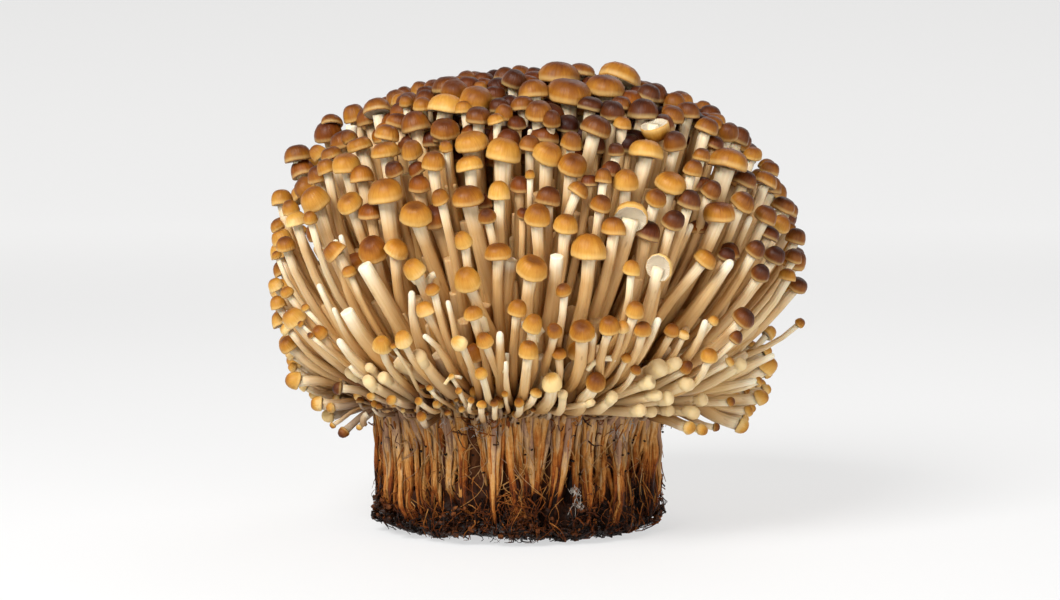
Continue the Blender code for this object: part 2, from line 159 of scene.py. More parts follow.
# Fillers
HEART_Z = 0.0560
FILLER_DRAWS = 2600
TOP_EVERY = 4
TOP_ANGLE = math.radians(42)
DRAWN = 26
DEEPEST_FILLER = 0.016
DEPTH_POWER = 2.2
FILLER_INSET = 0.4
WIDTH_LIMITS = (0.55, 1.6)
WIDTH_FOR_ROOM = 0.45
ROOM_ENOUGH = 1.25
ROOM_FOR_DEPTH = 18
WIDTH_SPREAD = 0.17
TONE_SPREAD = 0.12
TONE_TO_RIGHT = 1.2
BROKEN_SHARE = 0.05
BROKEN_WIDTHS = (0.0026, 0.0042)
MOST_COST = 0.0020
COST_WITH_DEPTH = 0.40
FRONT_HALF = 0.02
FRONT_EDGE_Z = 0.0350
FRONT_EDGE_X = 0.0440
OPEN_X = 0.0690
OPEN_Z = (0.0380, 0.0640)
COVER = 0.62

# The middle tuft: its radius at the base's top, and how much wider for each metre up
MIDDLE_FLOOR_RADIUS = 0.0120
MIDDLE_SPREAD = 0.24

# Small growth round the neck
PRIMORDIA = 440
PRIMORDIA_CAPPED = 0.7
PRIMORDIA_RADIUS = 0.0425
PRIMORDIA_SPREAD = 0.0085
PRIMORDIA_Z = 0.0365
PRIMORDIA_RISE = 0.0135
PRIMORDIA_WIDTHS = (0.0010, 0.0024)
PRIMORDIA_WIDEN = 0.0012
PRIMORDIA_TONES = (0.1, 0.75)

# Inner stems
INNER_COUNT = 520
INNER_SHARE = 0.86
INNER_SPREAD = 0.04
INNER_WIDTHS = (0.0030, 0.0044)
INNER_INSETS = (0.0125, 0.0230)

# Crowding, for painted shade: how deep a thing stands between its neighbours, which darkens and browns its
# colour
CROWD_MIDDLE_Z = 0.0425
CROWD_REACH = 0.016
CROWD_LEAST = 0.0022
CROWD_FULL = 0.56
CROWD_BLOCK = 1000
# Less painted shade low on the skirt, between these angles from straight up
LOW_OPEN = 0.60
LOW_OPEN_ANGLES = (math.radians(98), math.radians(114))

# Stems
STEM_RINGS = 11
STEM_SIDES = 7
HIDDEN_STEM_SIDES = 5
FOOT_SHARE = 0.42
FOOT_LENGTH = 0.021
STEM_OVAL = 0.05
STEM_LUMP = 0.03
STEM_SWELL = 0.07
STEM_THIN = 0.06
STEM_JOIN = 0.10
# A cut stem's top: how high and how wide each closing ring is in stem radii, flat or pointed.
FLAT_TOP = ((0.09, 0.96), (0.16, 0.80), (0.18, 0.40))
POINTED_TOP = ((0.40, 0.86), (0.75, 0.62), (0.92, 0.30))
POINTED_TAPER = 0.34
POINTED_FROM = 0.030
POINTED_WIDTH = 0.0034

# Caps
CAP_SIDES = 12
BUTTON_SIDES = 10
BUTTON_WIDTH = 0.0045
BUTTON_FROM_WIDTH = (0.0085, 0.0035)
RIM_AT = 0.42
# Under a cap, from the stem out: radius and height in cap widths, and how far along the profile.
CAP_PROFILE = (
    (0.17, 0.10, 0.06),
    (0.34, 0.085, 0.16),
    (0.43, 0.035, 0.24),
    (0.472, -0.012, 0.30),
    (0.497, 0.022, 0.36),
    (0.500, 0.09, 0.42),
)
BUTTON_PROFILE = ((0.22, 0.02, 0.10), (0.40, 0.02, 0.30), (0.500, 0.17, 0.42))
CLUB_PROFILE = ((0.39, -0.50, 0.10), (0.43, -0.16, 0.20), (0.475, 0.04, 0.30), (0.500, 0.22, 0.42))
CAP_DOME = (18, 36, 54, 70, 83)
BUTTON_DOME = (28, 56, 78)
CAP_HEIGHTS = (0.43, 0.68)
CAP_FULLNESS = (0.60, 0.88)
BUTTON_RISE = 0.18
DENTED_SHARE = 0.06
DENT_DEPTH = 0.07
DENT_POLE = 1.15
CAP_OVAL = 0.045
CAP_LUMP = 0.018
CAP_TIP = 0.07
CAP_WAVE = 0.016
GILLS = 44

# Colours, as the place on a ramp and the colour there
CAP_STOPS = (
    (0.00, "#E8CB8E"),
    (0.20, "#CC9A46"),
    (0.40, "#AF7626"),
    (0.58, "#875015"),
    (0.76, "#5D2E0C"),
    (1.00, "#341304"),
)
STEM_STOPS = (
    (0.28, "#7E5A30"),
    (0.36, "#C09A5E"),
    (0.50, "#E0C48E"),
    (0.70, "#EAD6AA"),
    (1.00, "#EFDFBC"),
)
# Painted shade: the tint of what stands deep between its neighbours
PAINTED_SHADE_TINT = (0.71, 0.47, 0.23)
# Brown stem feet, browner still with painted shade where they are crowded
BROWN_FEET_AND_SHADE_TINT = (0.40, 0.27, 0.19)
CLUB_COLOUR = "#E3CDA0"

# Packed inner stems
CROWDED_GRID = (44, 264)
CROWDED_SUNK = 0.004
INNER_TOP_Z = 0.1080
INNER_FOOT = 0.0340
INNER_RADIUS = 0.0450
INNER_RIBS = 96
INNER_RIB_DEPTH = 0.0016

# Root base
BODY_GRID = (64, 320)
# The dark body from its middle out and up: its radius as a share of the strands' bed, and its height.
BODY_BED = ((0, 0.30, 0.38, 0.46, 0.9, 1.0), (0.3, 0.70, 0.88, 0.915, 0.905, 0.55))
BODY_HEIGHTS = ((0, 0.22, 0.32, 0.40, 0.9, 1.0), (0, 0.0, 0.0012, 0.0048, 0.036, 0.0372))
# Its lumps: how deep, how large, and the seed of each.
BODY_RIPPLES = ((0.0013, 0.0075, 3), (0.0008, 0.0030, 4), (0.0004, 0.0014, 5))
BODY_WAVES = 30
CLOD_WAVES = 24
BASE_OUTLINE = (
    (0.0, 0.0036, 0.0105, 0.0185, 0.0265, 0.0318, 0.0385),
    (0.0375, 0.0405, 0.0402, 0.0394, 0.0396, 0.0404, 0.0412),
)
RIM_LIFT = 0.0036
NECK_Z = 0.0385
NECK_FLARE = 0.0050
BUNDLES = 54
BUNDLE_WIDTHS = ((0, 0.25, 0.6, 0.85, 1.0), (1.0, 0.74, 0.42, 0.34, 0.60))
BUNDLE_ROUND = 0.0014
STRAND_RINGS = 14
STRAND_SIDES = 5
HAIR_SIDES = 3
# Hollows in the foot: bearing in degrees, height, and how wide and tall.
HOLLOWS = (
    (-73, 0.0090, 4.5, 0.0062),
    (-82, 0.0100, 2.5, 0.0045),
    (-121, 0.0080, 4.0, 0.0045),
    (-53, 0.0060, 3.0, 0.0040),
    (-28, 0.0120, 3.5, 0.0070),
    (22, 0.0090, 6.0, 0.0060),
    (75, 0.0150, 4.0, 0.0080),
    (128, 0.0080, 7.0, 0.0050),
    (171, 0.0140, 4.0, 0.0080),
)
HOLLOW_DEPTH = 0.0042
HAIRS = 620
HAIR_FAN = 46
HAIR_FAN_BEARING = (math.radians(-90), 0.07)
HAIR_HEIGHTS = (0.006, 0.034)
HAIR_FAN_HEIGHTS = (0.010, 0.017)
HAIR_RINGS = 8
FELT_RINGS = 6
DOWN_THREADS = 22
DOWN_SIDES = 4
# Tufts of mould threads at the front: across, up, and how wide.
DOWN_TUFTS = (
    (-0.0115, 0.0325, 0.0014),
    (-0.0075, 0.0310, 0.0010),
    (0.0265, 0.0305, 0.0016),
    (0.0300, 0.0330, 0.0012),
    (0.0160, 0.0345, 0.0008),
    (0.0158, 0.0150, 0.0006),
    (0.0166, 0.0112, 0.0005),
    (-0.0210, 0.0345, 0.0009),
)
CLODS = 1100
FELT = 1400
FELT_CORNER_SHARE = 0.10
FELT_NECK_SHARE = 0.16
FELT_CORNER = (math.radians(-163), 0.14)
FELT_LEAST_Z = 0.0006
FELT_NECK_DEGREES = (-12, -12, 4, -66, -104, -150, 60, 110, 165)
BEADS = 130
# Heaps of crumbs: middle, spread, how many and the largest's radius.
CLOD_HEAPS = (
    ((-0.0380, -0.0090, 0.0066), (0.0016, 0.0038, 0.0017), 90, 0.0011),
    ((-0.0350, -0.0160, 0.0060), (0.0016, 0.0028, 0.0014), 40, 0.0010),
    ((0.0005, -0.0395, 0.0060), (0.0030, 0.0008, 0.0018), 50, 0.0008),
    ((0.0180, -0.0355, 0.0065), (0.0024, 0.0010, 0.0022), 24, 0.0008),
    ((-0.0160, -0.0365, 0.0070), (0.0034, 0.0010, 0.0026), 30, 0.0008),
)
STRAND_STOPS = (
    (0.00, "#160803"),
    (0.16, "#361707"),
    (0.32, "#7C3B11"),
    (0.50, "#AA6325"),
    (0.70, "#C68E4C"),
    (0.86, "#C9A171"),
    (1.00, "#A07A60"),
)
BODY_STOPS = (
    (0.00, "#0B0502"),
    (0.20, "#1E0D05"),
    (0.50, "#41200C"),
    (0.80, "#5C3518"),
    (1.00, "#5E3D26"),
)
CLOD_STOPS = (
    (0.00, "#130803"),
    (0.18, "#2E1607"),
    (0.38, "#5E3113"),
    (0.66, "#935C2A"),
    (1.00, "#BE9460"),
)

# Stage
SWEEP_START = 1.6
SWEEP_RADIUS = 0.8
SWEEP_REACH = 9.0
SWEEP_TOP = 3.0
SWEEP_STEPS = 28
SWEEP_COLUMNS = 15
AIR_COLOUR = (1, 0.94, 0.86, 1)
# Each light's place, aim, width and height, and its share of the key light's power.
LIGHTS = (
    ("key", (-0.47, -0.78, 0.77), (0, 0, 0.06), (0.55, 0.55), 1.0),
    ("fill", (0.65, -0.88, 0.20), (0, 0, 0.05), (0.8, 0.5), 0.30),
    ("rim", (0.35, 0.60, 0.75), (0, 0, 0.08), (0.6, 0.4), 0.10),
)

# Caps seen at the front: across and up as seen on the plane y = 0, width, the stem's lean to the
# right in degrees, and tone from 0, cream, over 0.5, golden, to 1, dark red-brown.
SEEN_CAPS = (
    (-0.0620, 0.1040, 0.0075, -14, 0.80),
    (-0.0605, 0.0995, 0.0070, -14, 0.60),
    (-0.0535, 0.1105, 0.0080, -12, 0.60),
    (-0.0525, 0.1135, 0.0065, -12, 0.85),
    (-0.0460, 0.1150, 0.0065, -10, 0.55),
    (-0.0420, 0.1145, 0.0075, -9, 0.60),
    (-0.0395, 0.1170, 0.0080, -8, 0.75),
    (-0.0485, 0.1015, 0.0085, -10, 0.50),
    (-0.0540, 0.1005, 0.0055, -12, 0.60),
    (-0.0375, 0.1055, 0.0080, -8, 0.55),
    (-0.0370, 0.1100, 0.0070, -8, 0.70),
    (-0.0335, 0.1135, 0.0075, -7, 0.55),
    (-0.0300, 0.1050, 0.0060, -6, 0.60),
    (-0.0440, 0.0980, 0.0070, -9, 0.50),
    (-0.0350, 0.1000, 0.0055, -7, 0.85),
    (-0.0285, 0.1000, 0.0050, -6, 0.60),
    (-0.0315, 0.1185, 0.0045, -5, 0.60),
    (-0.0270, 0.1180, 0.0060, -4, 0.60),
    (-0.0205, 0.1180, 0.0105, 15, 0.35),
    (-0.0200, 0.1235, 0.0090, -3, 0.80),
    (-0.0180, 0.1215, 0.0080, -3, 0.60),
    (-0.0120, 0.1200, 0.0095, -2, 0.55),
    (-0.0115, 0.1150, 0.0075, 0, 0.80),
    (-0.0065, 0.1140, 0.0050, 0, 0.60),
    (-0.0015, 0.1250, 0.0070, 0, 0.90),
    (0.0040, 0.1220, 0.0085, 0, 0.65),
    (0.0010, 0.1180, 0.0070, 0, 0.70),
    (0.0055, 0.1160, 0.0080, 0, 0.60),
    (-0.0135, 0.1080, 0.0100, -3, 0.40),
    (-0.0240, 0.1020, 0.0070, -5, 0.55),
    (-0.0140, 0.1015, 0.0075, -4, 0.50),
    (-0.0045, 0.1050, 0.0105, 0, 0.40),
    (0.0080, 0.1045, 0.0085, 3, 0.45),
    (-0.0030, 0.1085, 0.0070, 0, 0.65),
    (0.0030, 0.1070, 0.0065, 0, 0.65),
    (-0.0205, 0.1060, 0.0040, -4, 0.60),
    (0.0140, 0.1215, 0.0125, 4, 0.60),
    (0.0110, 0.1265, 0.0120, 2, 0.70),
    (0.0170, 0.1270, 0.0090, 3, 0.80),
    (0.0240, 0.1230, 0.0120, 5, 0.60),
    (0.0280, 0.1255, 0.0120, 6, 0.65),
    (0.0360, 0.1210, 0.0070, 8, 0.95),
    (0.0345, 0.1160, 0.0090, 10, 0.90),
    (0.0260, 0.1160, 0.0070, 6, 0.90),
    (0.0135, 0.1130, 0.0070, 2, 0.97),
    (0.0330, 0.1128, 0.0072, 8, 0.97),
    (0.0200, 0.1183, 0.0075, 4, 0.95),
    (0.0322, 0.1085, 0.0062, 8, 0.95),
    (0.0215, 0.1120, 0.0090, 12, 0.80),
    (0.0145, 0.1075, 0.0060, 4, 0.70),
    (0.0150, 0.1015, 0.0085, 4, 0.60),
    (0.0355, 0.1055, 0.0105, 12, 0.40),
    (0.0430, 0.1155, 0.0070, 12, 0.75),
    (0.0475, 0.1160, 0.0060, 13, 0.80),
    (0.0305, 0.1070, 0.0070, 8, 0.95),
    (0.0435, 0.1075, 0.0065, 12, 0.80),
    (0.0255, 0.0995, 0.0060, 6, 0.70),
    (0.0525, 0.1120, 0.0070, 14, 0.75),
    (0.0505, 0.1125, 0.0065, 14, 0.80),
    (0.0545, 0.1075, 0.0060, 14, 0.70),
    (0.0585, 0.1025, 0.0115, 14, 0.65),
    (0.0510, 0.1040, 0.0050, 12, 0.70),
    (0.0690, 0.0970, 0.0070, 18, 0.80),
    (0.0630, 0.0970, 0.0070, 16, 0.80),
    (0.0535, 0.0940, 0.0060, 14, 0.75),
    (0.0485, 0.1000, 0.0055, 12, 0.70),
    (-0.0570, 0.0915, 0.0085, -15, 0.45),
    (-0.0665, 0.0915, 0.0065, -10, 0.55),
    (-0.0640, 0.0890, 0.0050, -12, 0.60),
    (-0.0625, 0.0860, 0.0065, -12, 0.30),
    (-0.0585, 0.0860, 0.0045, -14, 0.50),
    (-0.0475, 0.0910, 0.0075, -18, 0.50),
    (-0.0415, 0.0880, 0.0080, -10, 0.60),
    (-0.0375, 0.0935, 0.0105, -6, 0.50),
    (-0.0655, 0.0790, 0.0060, -15, 0.60),
    (-0.0680, 0.0760, 0.0030, -18, 0.60),
    (-0.0475, 0.0710, 0.0045, -20, 0.50),
    (-0.0410, 0.0775, 0.0085, -8, 0.50),
    (-0.0345, 0.0780, 0.0075, 0, 0.30),
    (-0.0290, 0.0875, 0.0090, -20, 0.55),
    (-0.0235, 0.0865, 0.0090, -22, 0.55),
    (-0.0145, 0.0925, 0.0095, -15, 0.60),
    (-0.0100, 0.0905, 0.0050, -8, 0.70),
    (-0.0280, 0.0955, 0.0065, -10, 0.55),
    (-0.0220, 0.0920, 0.0050, -8, 0.60),
    (0.0050, 0.0870, 0.0075, -3, 0.55),
    (0.0010, 0.0875, 0.0040, 0, 0.60),
    (0.0080, 0.0920, 0.0070, 0, 0.70),
    (-0.0060, 0.0770, 0.0075, 0, 0.55),
    (0.0035, 0.0725, 0.0090, 8, 0.45),
    (0.0030, 0.0985, 0.0030, 0, 0.50),
    (-0.0145, 0.0690, 0.0080, -25, 0.50),
    (0.0130, 0.0845, 0.0075, 2, 0.50),
    (0.0195, 0.0775, 0.0100, 3, 0.45),
    (0.0165, 0.0945, 0.0065, 25, 0.70),
    (0.0195, 0.0965, 0.0050, 8, 0.70),
    (0.0235, 0.0975, 0.0050, 6, 0.70),
    (0.0298, 0.0968, 0.0075, 0, 0.45),
    (0.0265, 0.0835, 0.0070, 8, 0.60),
    (0.0355, 0.0825, 0.0085, 3, 0.75),
    (0.0425, 0.0965, 0.0095, 15, 0.50),
    (0.0475, 0.0910, 0.0070, 14, 0.85),
    (0.0430, 0.0855, 0.0065, 12, 0.90),
    (0.0315, 0.0720, 0.0050, 5, 0.50),
    (0.0520, 0.0750, 0.0065, 35, 0.50),
    (0.0560, 0.0880, 0.0090, 18, 0.60),
    (0.0625, 0.0910, 0.0070, 18, 0.75),
    (0.0690, 0.0870, 0.0065, 22, 0.85),
    (0.0740, 0.0900, 0.0070, 22, 0.80),
    (0.0700, 0.0950, 0.0070, 20, 0.80),
    (0.0700, 0.0820, 0.0060, 24, 0.80),
    (0.0775, 0.0810, 0.0060, 26, 0.80),
    (0.0660, 0.0775, 0.0055, 26, 0.90),
    (0.0715, 0.0760, 0.0060, 28, 0.90),
    (0.0770, 0.0755, 0.0050, 30, 0.80),
    (0.0675, 0.0710, 0.0055, 30, 0.90),
    (0.0580, 0.0760, 0.0050, 25, 0.90),
    (-0.0650, 0.0655, 0.0042, -35, 0.50),
    (-0.0613, 0.0568, 0.0020, -45, 0.50),
    (-0.0585, 0.0535, 0.0020, -45, 0.80),
    (-0.0600, 0.0612, 0.0025, -40, 0.50),
    (-0.0556, 0.0540, 0.0045, -30, 0.40),
    (-0.0386, 0.0507, 0.0055, -10, 0.40),
    (-0.0325, 0.0520, 0.0050, -25, 0.35),
    (-0.0353, 0.0506, 0.0020, -20, 0.50),
    (-0.0165, 0.0512, 0.0048, -18, 0.15),
    (-0.0097, 0.0520, 0.0050, -20, 0.45),
    (0.0025, 0.0490, 0.0060, 4, 0.50),
    (0.0112, 0.0483, 0.0045, 0, 0.40),
    (0.0177, 0.0550, 0.0075, 0, 0.60),
    (0.0170, 0.0495, 0.0075, 10, 0.30),
    (0.0253, 0.0560, 0.0060, 8, 0.55),
    (0.0290, 0.0555, 0.0040, 10, 0.20),
    (0.0324, 0.0603, 0.0053, 12, 0.50),
    (0.0347, 0.0553, 0.0050, 12, 0.50),
    (0.0427, 0.0545, 0.0047, 20, 0.50),
    (0.0460, 0.0535, 0.0035, 20, 0.15),
    (0.0534, 0.0478, 0.0050, 12, 0.50),
    (0.0543, 0.0575, 0.0030, 30, 0.40),
    (0.0780, 0.0677, 0.0060, 35, 0.85),
    (0.0786, 0.0570, 0.0032, 50, 0.60),
    (0.0630, 0.0585, 0.0065, 38, 0.85),
    (0.0605, 0.0525, 0.0042, 40, 0.85),
)

# Pins seen round the neck, in the same terms.
SEEN_PINS = (
    (-0.0630, 0.0410, 0.0052, -88, 0.50),
    (-0.0447, 0.0443, 0.0040, -50, 0.15),
    (-0.0470, 0.0430, 0.0030, -55, 0.15),
    (-0.0420, 0.0446, 0.0023, -40, 0.20),
    (-0.0420, 0.0403, 0.0030, -50, 0.15),
    (-0.0330, 0.0450, 0.0030, -55, 0.15),
    (-0.0280, 0.0475, 0.0035, -35, 0.20),
    (-0.0380, 0.0417, 0.0030, -50, 0.20),
    (-0.0505, 0.0388, 0.0037, -80, 0.90),
    (-0.0415, 0.0365, 0.0025, -70, 0.30),
    (-0.0356, 0.0354, 0.0030, -60, 0.45),
    (-0.0524, 0.0285, 0.0020, -120, 0.50),
    (-0.0492, 0.0267, 0.0033, -130, 0.80),
    (-0.0450, 0.0280, 0.0020, -140, 0.40),
    (-0.0282, 0.0350, 0.0025, -40, 0.40),
    (0.0092, 0.0402, 0.0060, 5, 0.02),
    (-0.0190, 0.0420, 0.0020, -30, 0.30),
    (-0.0170, 0.0380, 0.0022, -20, 0.40),
    (-0.0252, 0.0387, 0.0020, -30, 0.40),
    (-0.0136, 0.0353, 0.0020, 0, 0.50),
    (-0.0107, 0.0340, 0.0030, 0, 0.45),
    (-0.0070, 0.0344, 0.0025, 0, 0.60),
    (-0.0040, 0.0370, 0.0020, 0, 0.40),
    (0.0000, 0.0345, 0.0030, 0, 0.50),
    (0.0017, 0.0390, 0.0020, 0, 0.30),
    (0.0046, 0.0373, 0.0035, 20, 0.25),
    (0.0122, 0.0370, 0.0023, 0, 0.20),
    (-0.0275, 0.0305, 0.0030, -20, 0.60),
    (0.0300, 0.0470, 0.0030, 20, 0.30),
    (0.0326, 0.0438, 0.0033, 25, 0.60),
    (0.0215, 0.0405, 0.0060, 15, 0.60),
    (0.0390, 0.0445, 0.0045, 60, 0.10),
    (0.0433, 0.0455, 0.0033, 55, 0.10),
    (0.0465, 0.0443, 0.0040, 50, 0.60),
    (0.0363, 0.0405, 0.0033, 62, 0.10),
    (0.0380, 0.0368, 0.0028, 70, 0.10),
    (0.0416, 0.0360, 0.0033, 70, 0.10),
    (0.0370, 0.0322, 0.0026, 80, 0.15),
    (0.0338, 0.0325, 0.0030, 75, 0.15),
    (0.0420, 0.0325, 0.0026, 85, 0.15),
    (0.0470, 0.0400, 0.0035, 60, 0.15),
    (0.0485, 0.0320, 0.0030, 85, 0.20),
    (0.0513, 0.0356, 0.0030, 80, 0.15),
    (0.0260, 0.0362, 0.0030, 30, 0.10),
    (0.0200, 0.0346, 0.0018, 75, 0.20),
    (0.0590, 0.0462, 0.0030, 55, 0.30),
    (0.0620, 0.0455, 0.0030, 55, 0.15),
    (0.0593, 0.0350, 0.0030, 85, 0.60),
    (0.0625, 0.0283, 0.0047, 110, 0.30),
    (0.0550, 0.0278, 0.0025, 100, 0.70),
)

# Broken stems seen at the front: across, up, stem width and lean.
SEEN_BROKEN = (
    (-0.0470, 0.1125, 0.0035, 3),
    (-0.0515, 0.0800, 0.0030, -8),
    (-0.0500, 0.0815, 0.0025, -12),
    (-0.0435, 0.0735, 0.0045, -28),
    (-0.0025, 0.0750, 0.0040, 8),
    (0.0105, 0.0760, 0.0040, 2),
    (0.0480, 0.0845, 0.0030, 22),
    (0.0390, 0.0720, 0.0035, 0),
    (0.0645, 0.0865, 0.0032, 20),
    (0.0590, 0.0740, 0.0045, 35),
    (-0.0562, 0.0677, 0.0026, -20),
    (-0.0520, 0.0610, 0.0025, -25),
    (-0.0505, 0.0520, 0.0035, -30),
    (-0.0485, 0.0605, 0.0045, -28),
    (-0.0302, 0.0655, 0.0033, 3),
    (-0.0055, 0.0540, 0.0035, 0),
    (-0.0038, 0.0460, 0.0020, 0),
    (-0.0200, 0.0630, 0.0026, -10),
    (-0.0265, 0.0535, 0.0025, -45),
    (0.0208, 0.0540, 0.0035, 3),
    (0.0390, 0.0580, 0.0032, 18),
    (0.0522, 0.0575, 0.0030, 12),
    (-0.0660, 0.0576, 0.0020, -50),
    (0.0710, 0.0480, 0.0030, 60),
    (0.0660, 0.0410, 0.0030, 75),
)

# Caps knocked over or turned, as seen at the front: across, up, width, tone, and the way the top faces.
TURNED_CAPS = (
    (0.0313, 0.0873, 0.0095, 0.45, (0.12, 0.80, 0.55)),
    (0.0395, 0.0730, 0.0080, 0.40, (0.45, 0.88, 0.15)),
    (0.0380, 0.1120, 0.0080, 0.50, (0.30, 0.35, -0.88)),
)

# Loose pieces of stem seen at the front: across, up, width, length, lean, and how far the ends bend.
SCRAPS = (
    (-0.0107, 0.0580, 0.0035, 0.0068, -14, 0.0),
    (0.0044, 0.0545, 0.0036, 0.0048, 30, 0.0006),
    (0.0016, 0.0560, 0.0018, 0.0036, -38, 0.0004),
    (-0.0285, 0.0690, 0.0026, 0.0040, -62, 0.0008),
    (-0.0250, 0.0700, 0.0022, 0.0032, 36, 0.0005),
    (0.0225, 0.0470, 0.0018, 0.0085, 70, 0.0016),
    (-0.0190, 0.0420, 0.0011, 0.0050, 70, 0.0012),
    (-0.0038, 0.0460, 0.0019, 0.0055, 2, 0.0),
    (-0.0455, 0.0430, 0.0016, 0.0060, -55, 0.0006),
    (-0.0440, 0.0300, 0.0022, 0.0034, 15, 0.0008),
)
SCRAP_INSET = 0.0085
SCRAP_SIDES = 8
# A loose piece from end to end: how far along it, and how thick.
SCRAP_PROFILE = np.array(
    (
        (-0.5, -0.5, -0.48, -0.2, 0.1, 0.35, 0.5, 0.51, 0.49),
        (0.45, 0.85, 0.98, 1.0, 0.98, 1.0, 0.95, 0.84, 0.45),
    )
)


def linear(text):
    """Linear red, green and blue of a colour written as #RRGGBB."""
    shares = [int(text[k : k + 2], 16) / 255 for k in (1, 3, 5)]
    return tuple(s / 12.92 if s <= 0.04045 else ((s + 0.055) / 1.055) ** 2.4 for s in shares)


def unit(vectors):
    """The vectors, each divided by its length."""
    return vectors / np.linalg.norm(vectors, axis=-1, keepdims=True)


ASLANT = unit(np.array((0.31, 0.87, 0.38)))


def smooth_step(low, high, value):
    """0 below low, 1 above high, and an S-curve between."""
    share = np.clip((value - low) / (high - low), 0, 1)
    return share * share * (3 - 2 * share)


def circle(sides):
    """The angles once round, in equal steps."""
    return np.linspace(0, 2 * math.pi, sides, endpoint=False)


def golden(step):
    """The bearing of a step round the golden spiral, which spreads steps evenly over a disc."""
    return step * math.pi * (3 - math.sqrt(5))


# The crown's rule, shared by the caps, stems and crowded inner stems


def crown_radius(z, inset=0.0):
    """Radius of the crown at height z: a superellipse, widest at the crown's middle."""
    reach = np.where(z > CROWN_MID_Z, CROWN_TOP_Z - CROWN_MID_Z, CROWN_MID_Z - CROWN_LOW_Z)
    share = np.clip(np.abs(z - CROWN_MID_Z) / reach, 0, 1)
    return CROWN_RADIUS * (1 - share**CROWN_POWER) ** (1 / CROWN_POWER) - inset


def crown_point(bearing, angle):
    """A point on the crown, by its bearing and its angle from straight up."""
    power = 2 / CROWN_POWER
    across = CROWN_RADIUS * np.abs(np.sin(angle)) ** power
    reach = np.where(np.cos(angle) > 0, CROWN_TOP_Z - CROWN_MID_Z, CROWN_MID_Z - CROWN_LOW_Z)
    up = reach * np.sign(np.cos(angle)) * np.abs(np.cos(angle)) ** power
    return np.stack((across * np.cos(bearing), across * np.sin(bearing), CROWN_MID_Z + up), axis=-1)


def crown_angle(point):
    """The angle from straight up of the crown's outline nearest to a point."""
    out = np.hypot(point[0], point[1])
    near = (OUTLINE[:, 0] - out) ** 2 + (OUTLINE[:, 2] - point[2]) ** 2
    return OUTLINE_ANGLES[np.argmin(near)]


OUTLINE_POINTS = 300
OUTLINE_ANGLES = np.linspace(0, SKIRT_ANGLE, OUTLINE_POINTS)
OUTLINE = crown_point(np.zeros(OUTLINE_POINTS), OUTLINE_ANGLES)


def crown_area():
    """The crown's surface above each point of its outline, over pi: strip lengths times the sum of the
    radii at their two ends, added up."""
    strip = np.hypot(np.diff(OUTLINE[:, 0]), np.diff(OUTLINE[:, 2]))
    return np.concatenate(((0,), np.cumsum(strip * (OUTLINE[1:, 0] + OUTLINE[:-1, 0]))))


def towards_heart(tips, insets):
    """Points of the crown moved inwards, towards a point on its axis."""
    return tips + unit(np.array((0, 0, HEART_Z)) - tips) * insets


def at_angle(angle, table):
    """A table's value at an angle from straight up."""
    return np.interp(np.degrees(angle), *table)


def sight(across, up, inset):
    """Where the line from the eye through (across, 0, up) first comes within inset of the crown."""
    target = np.array((across, 0, up))
    line = EYE + (target - EYE) * np.linspace(*SIGHT_SHARES, SIGHT_STEPS)[:, None]
    out = np.hypot(line[:, 0] - CROWN_X, line[:, 1])
    over = out - crown_radius(line[:, 2], inset)
    inside = np.flatnonzero(over < 0)
    point = line[inside[0]] if len(inside) else line[np.argmin(over)]
    return point - (CROWN_X, 0, 0)


def bezier(start, first, second, end, share):
    """The cubic curve from start to end that first and second pull on, at each share of its way."""
    share = np.asarray(share)[:, None]
    left = 1 - share
    return left**3 * start + 3 * left**2 * share * first + 3 * left * share**2 * second + share**3 * end


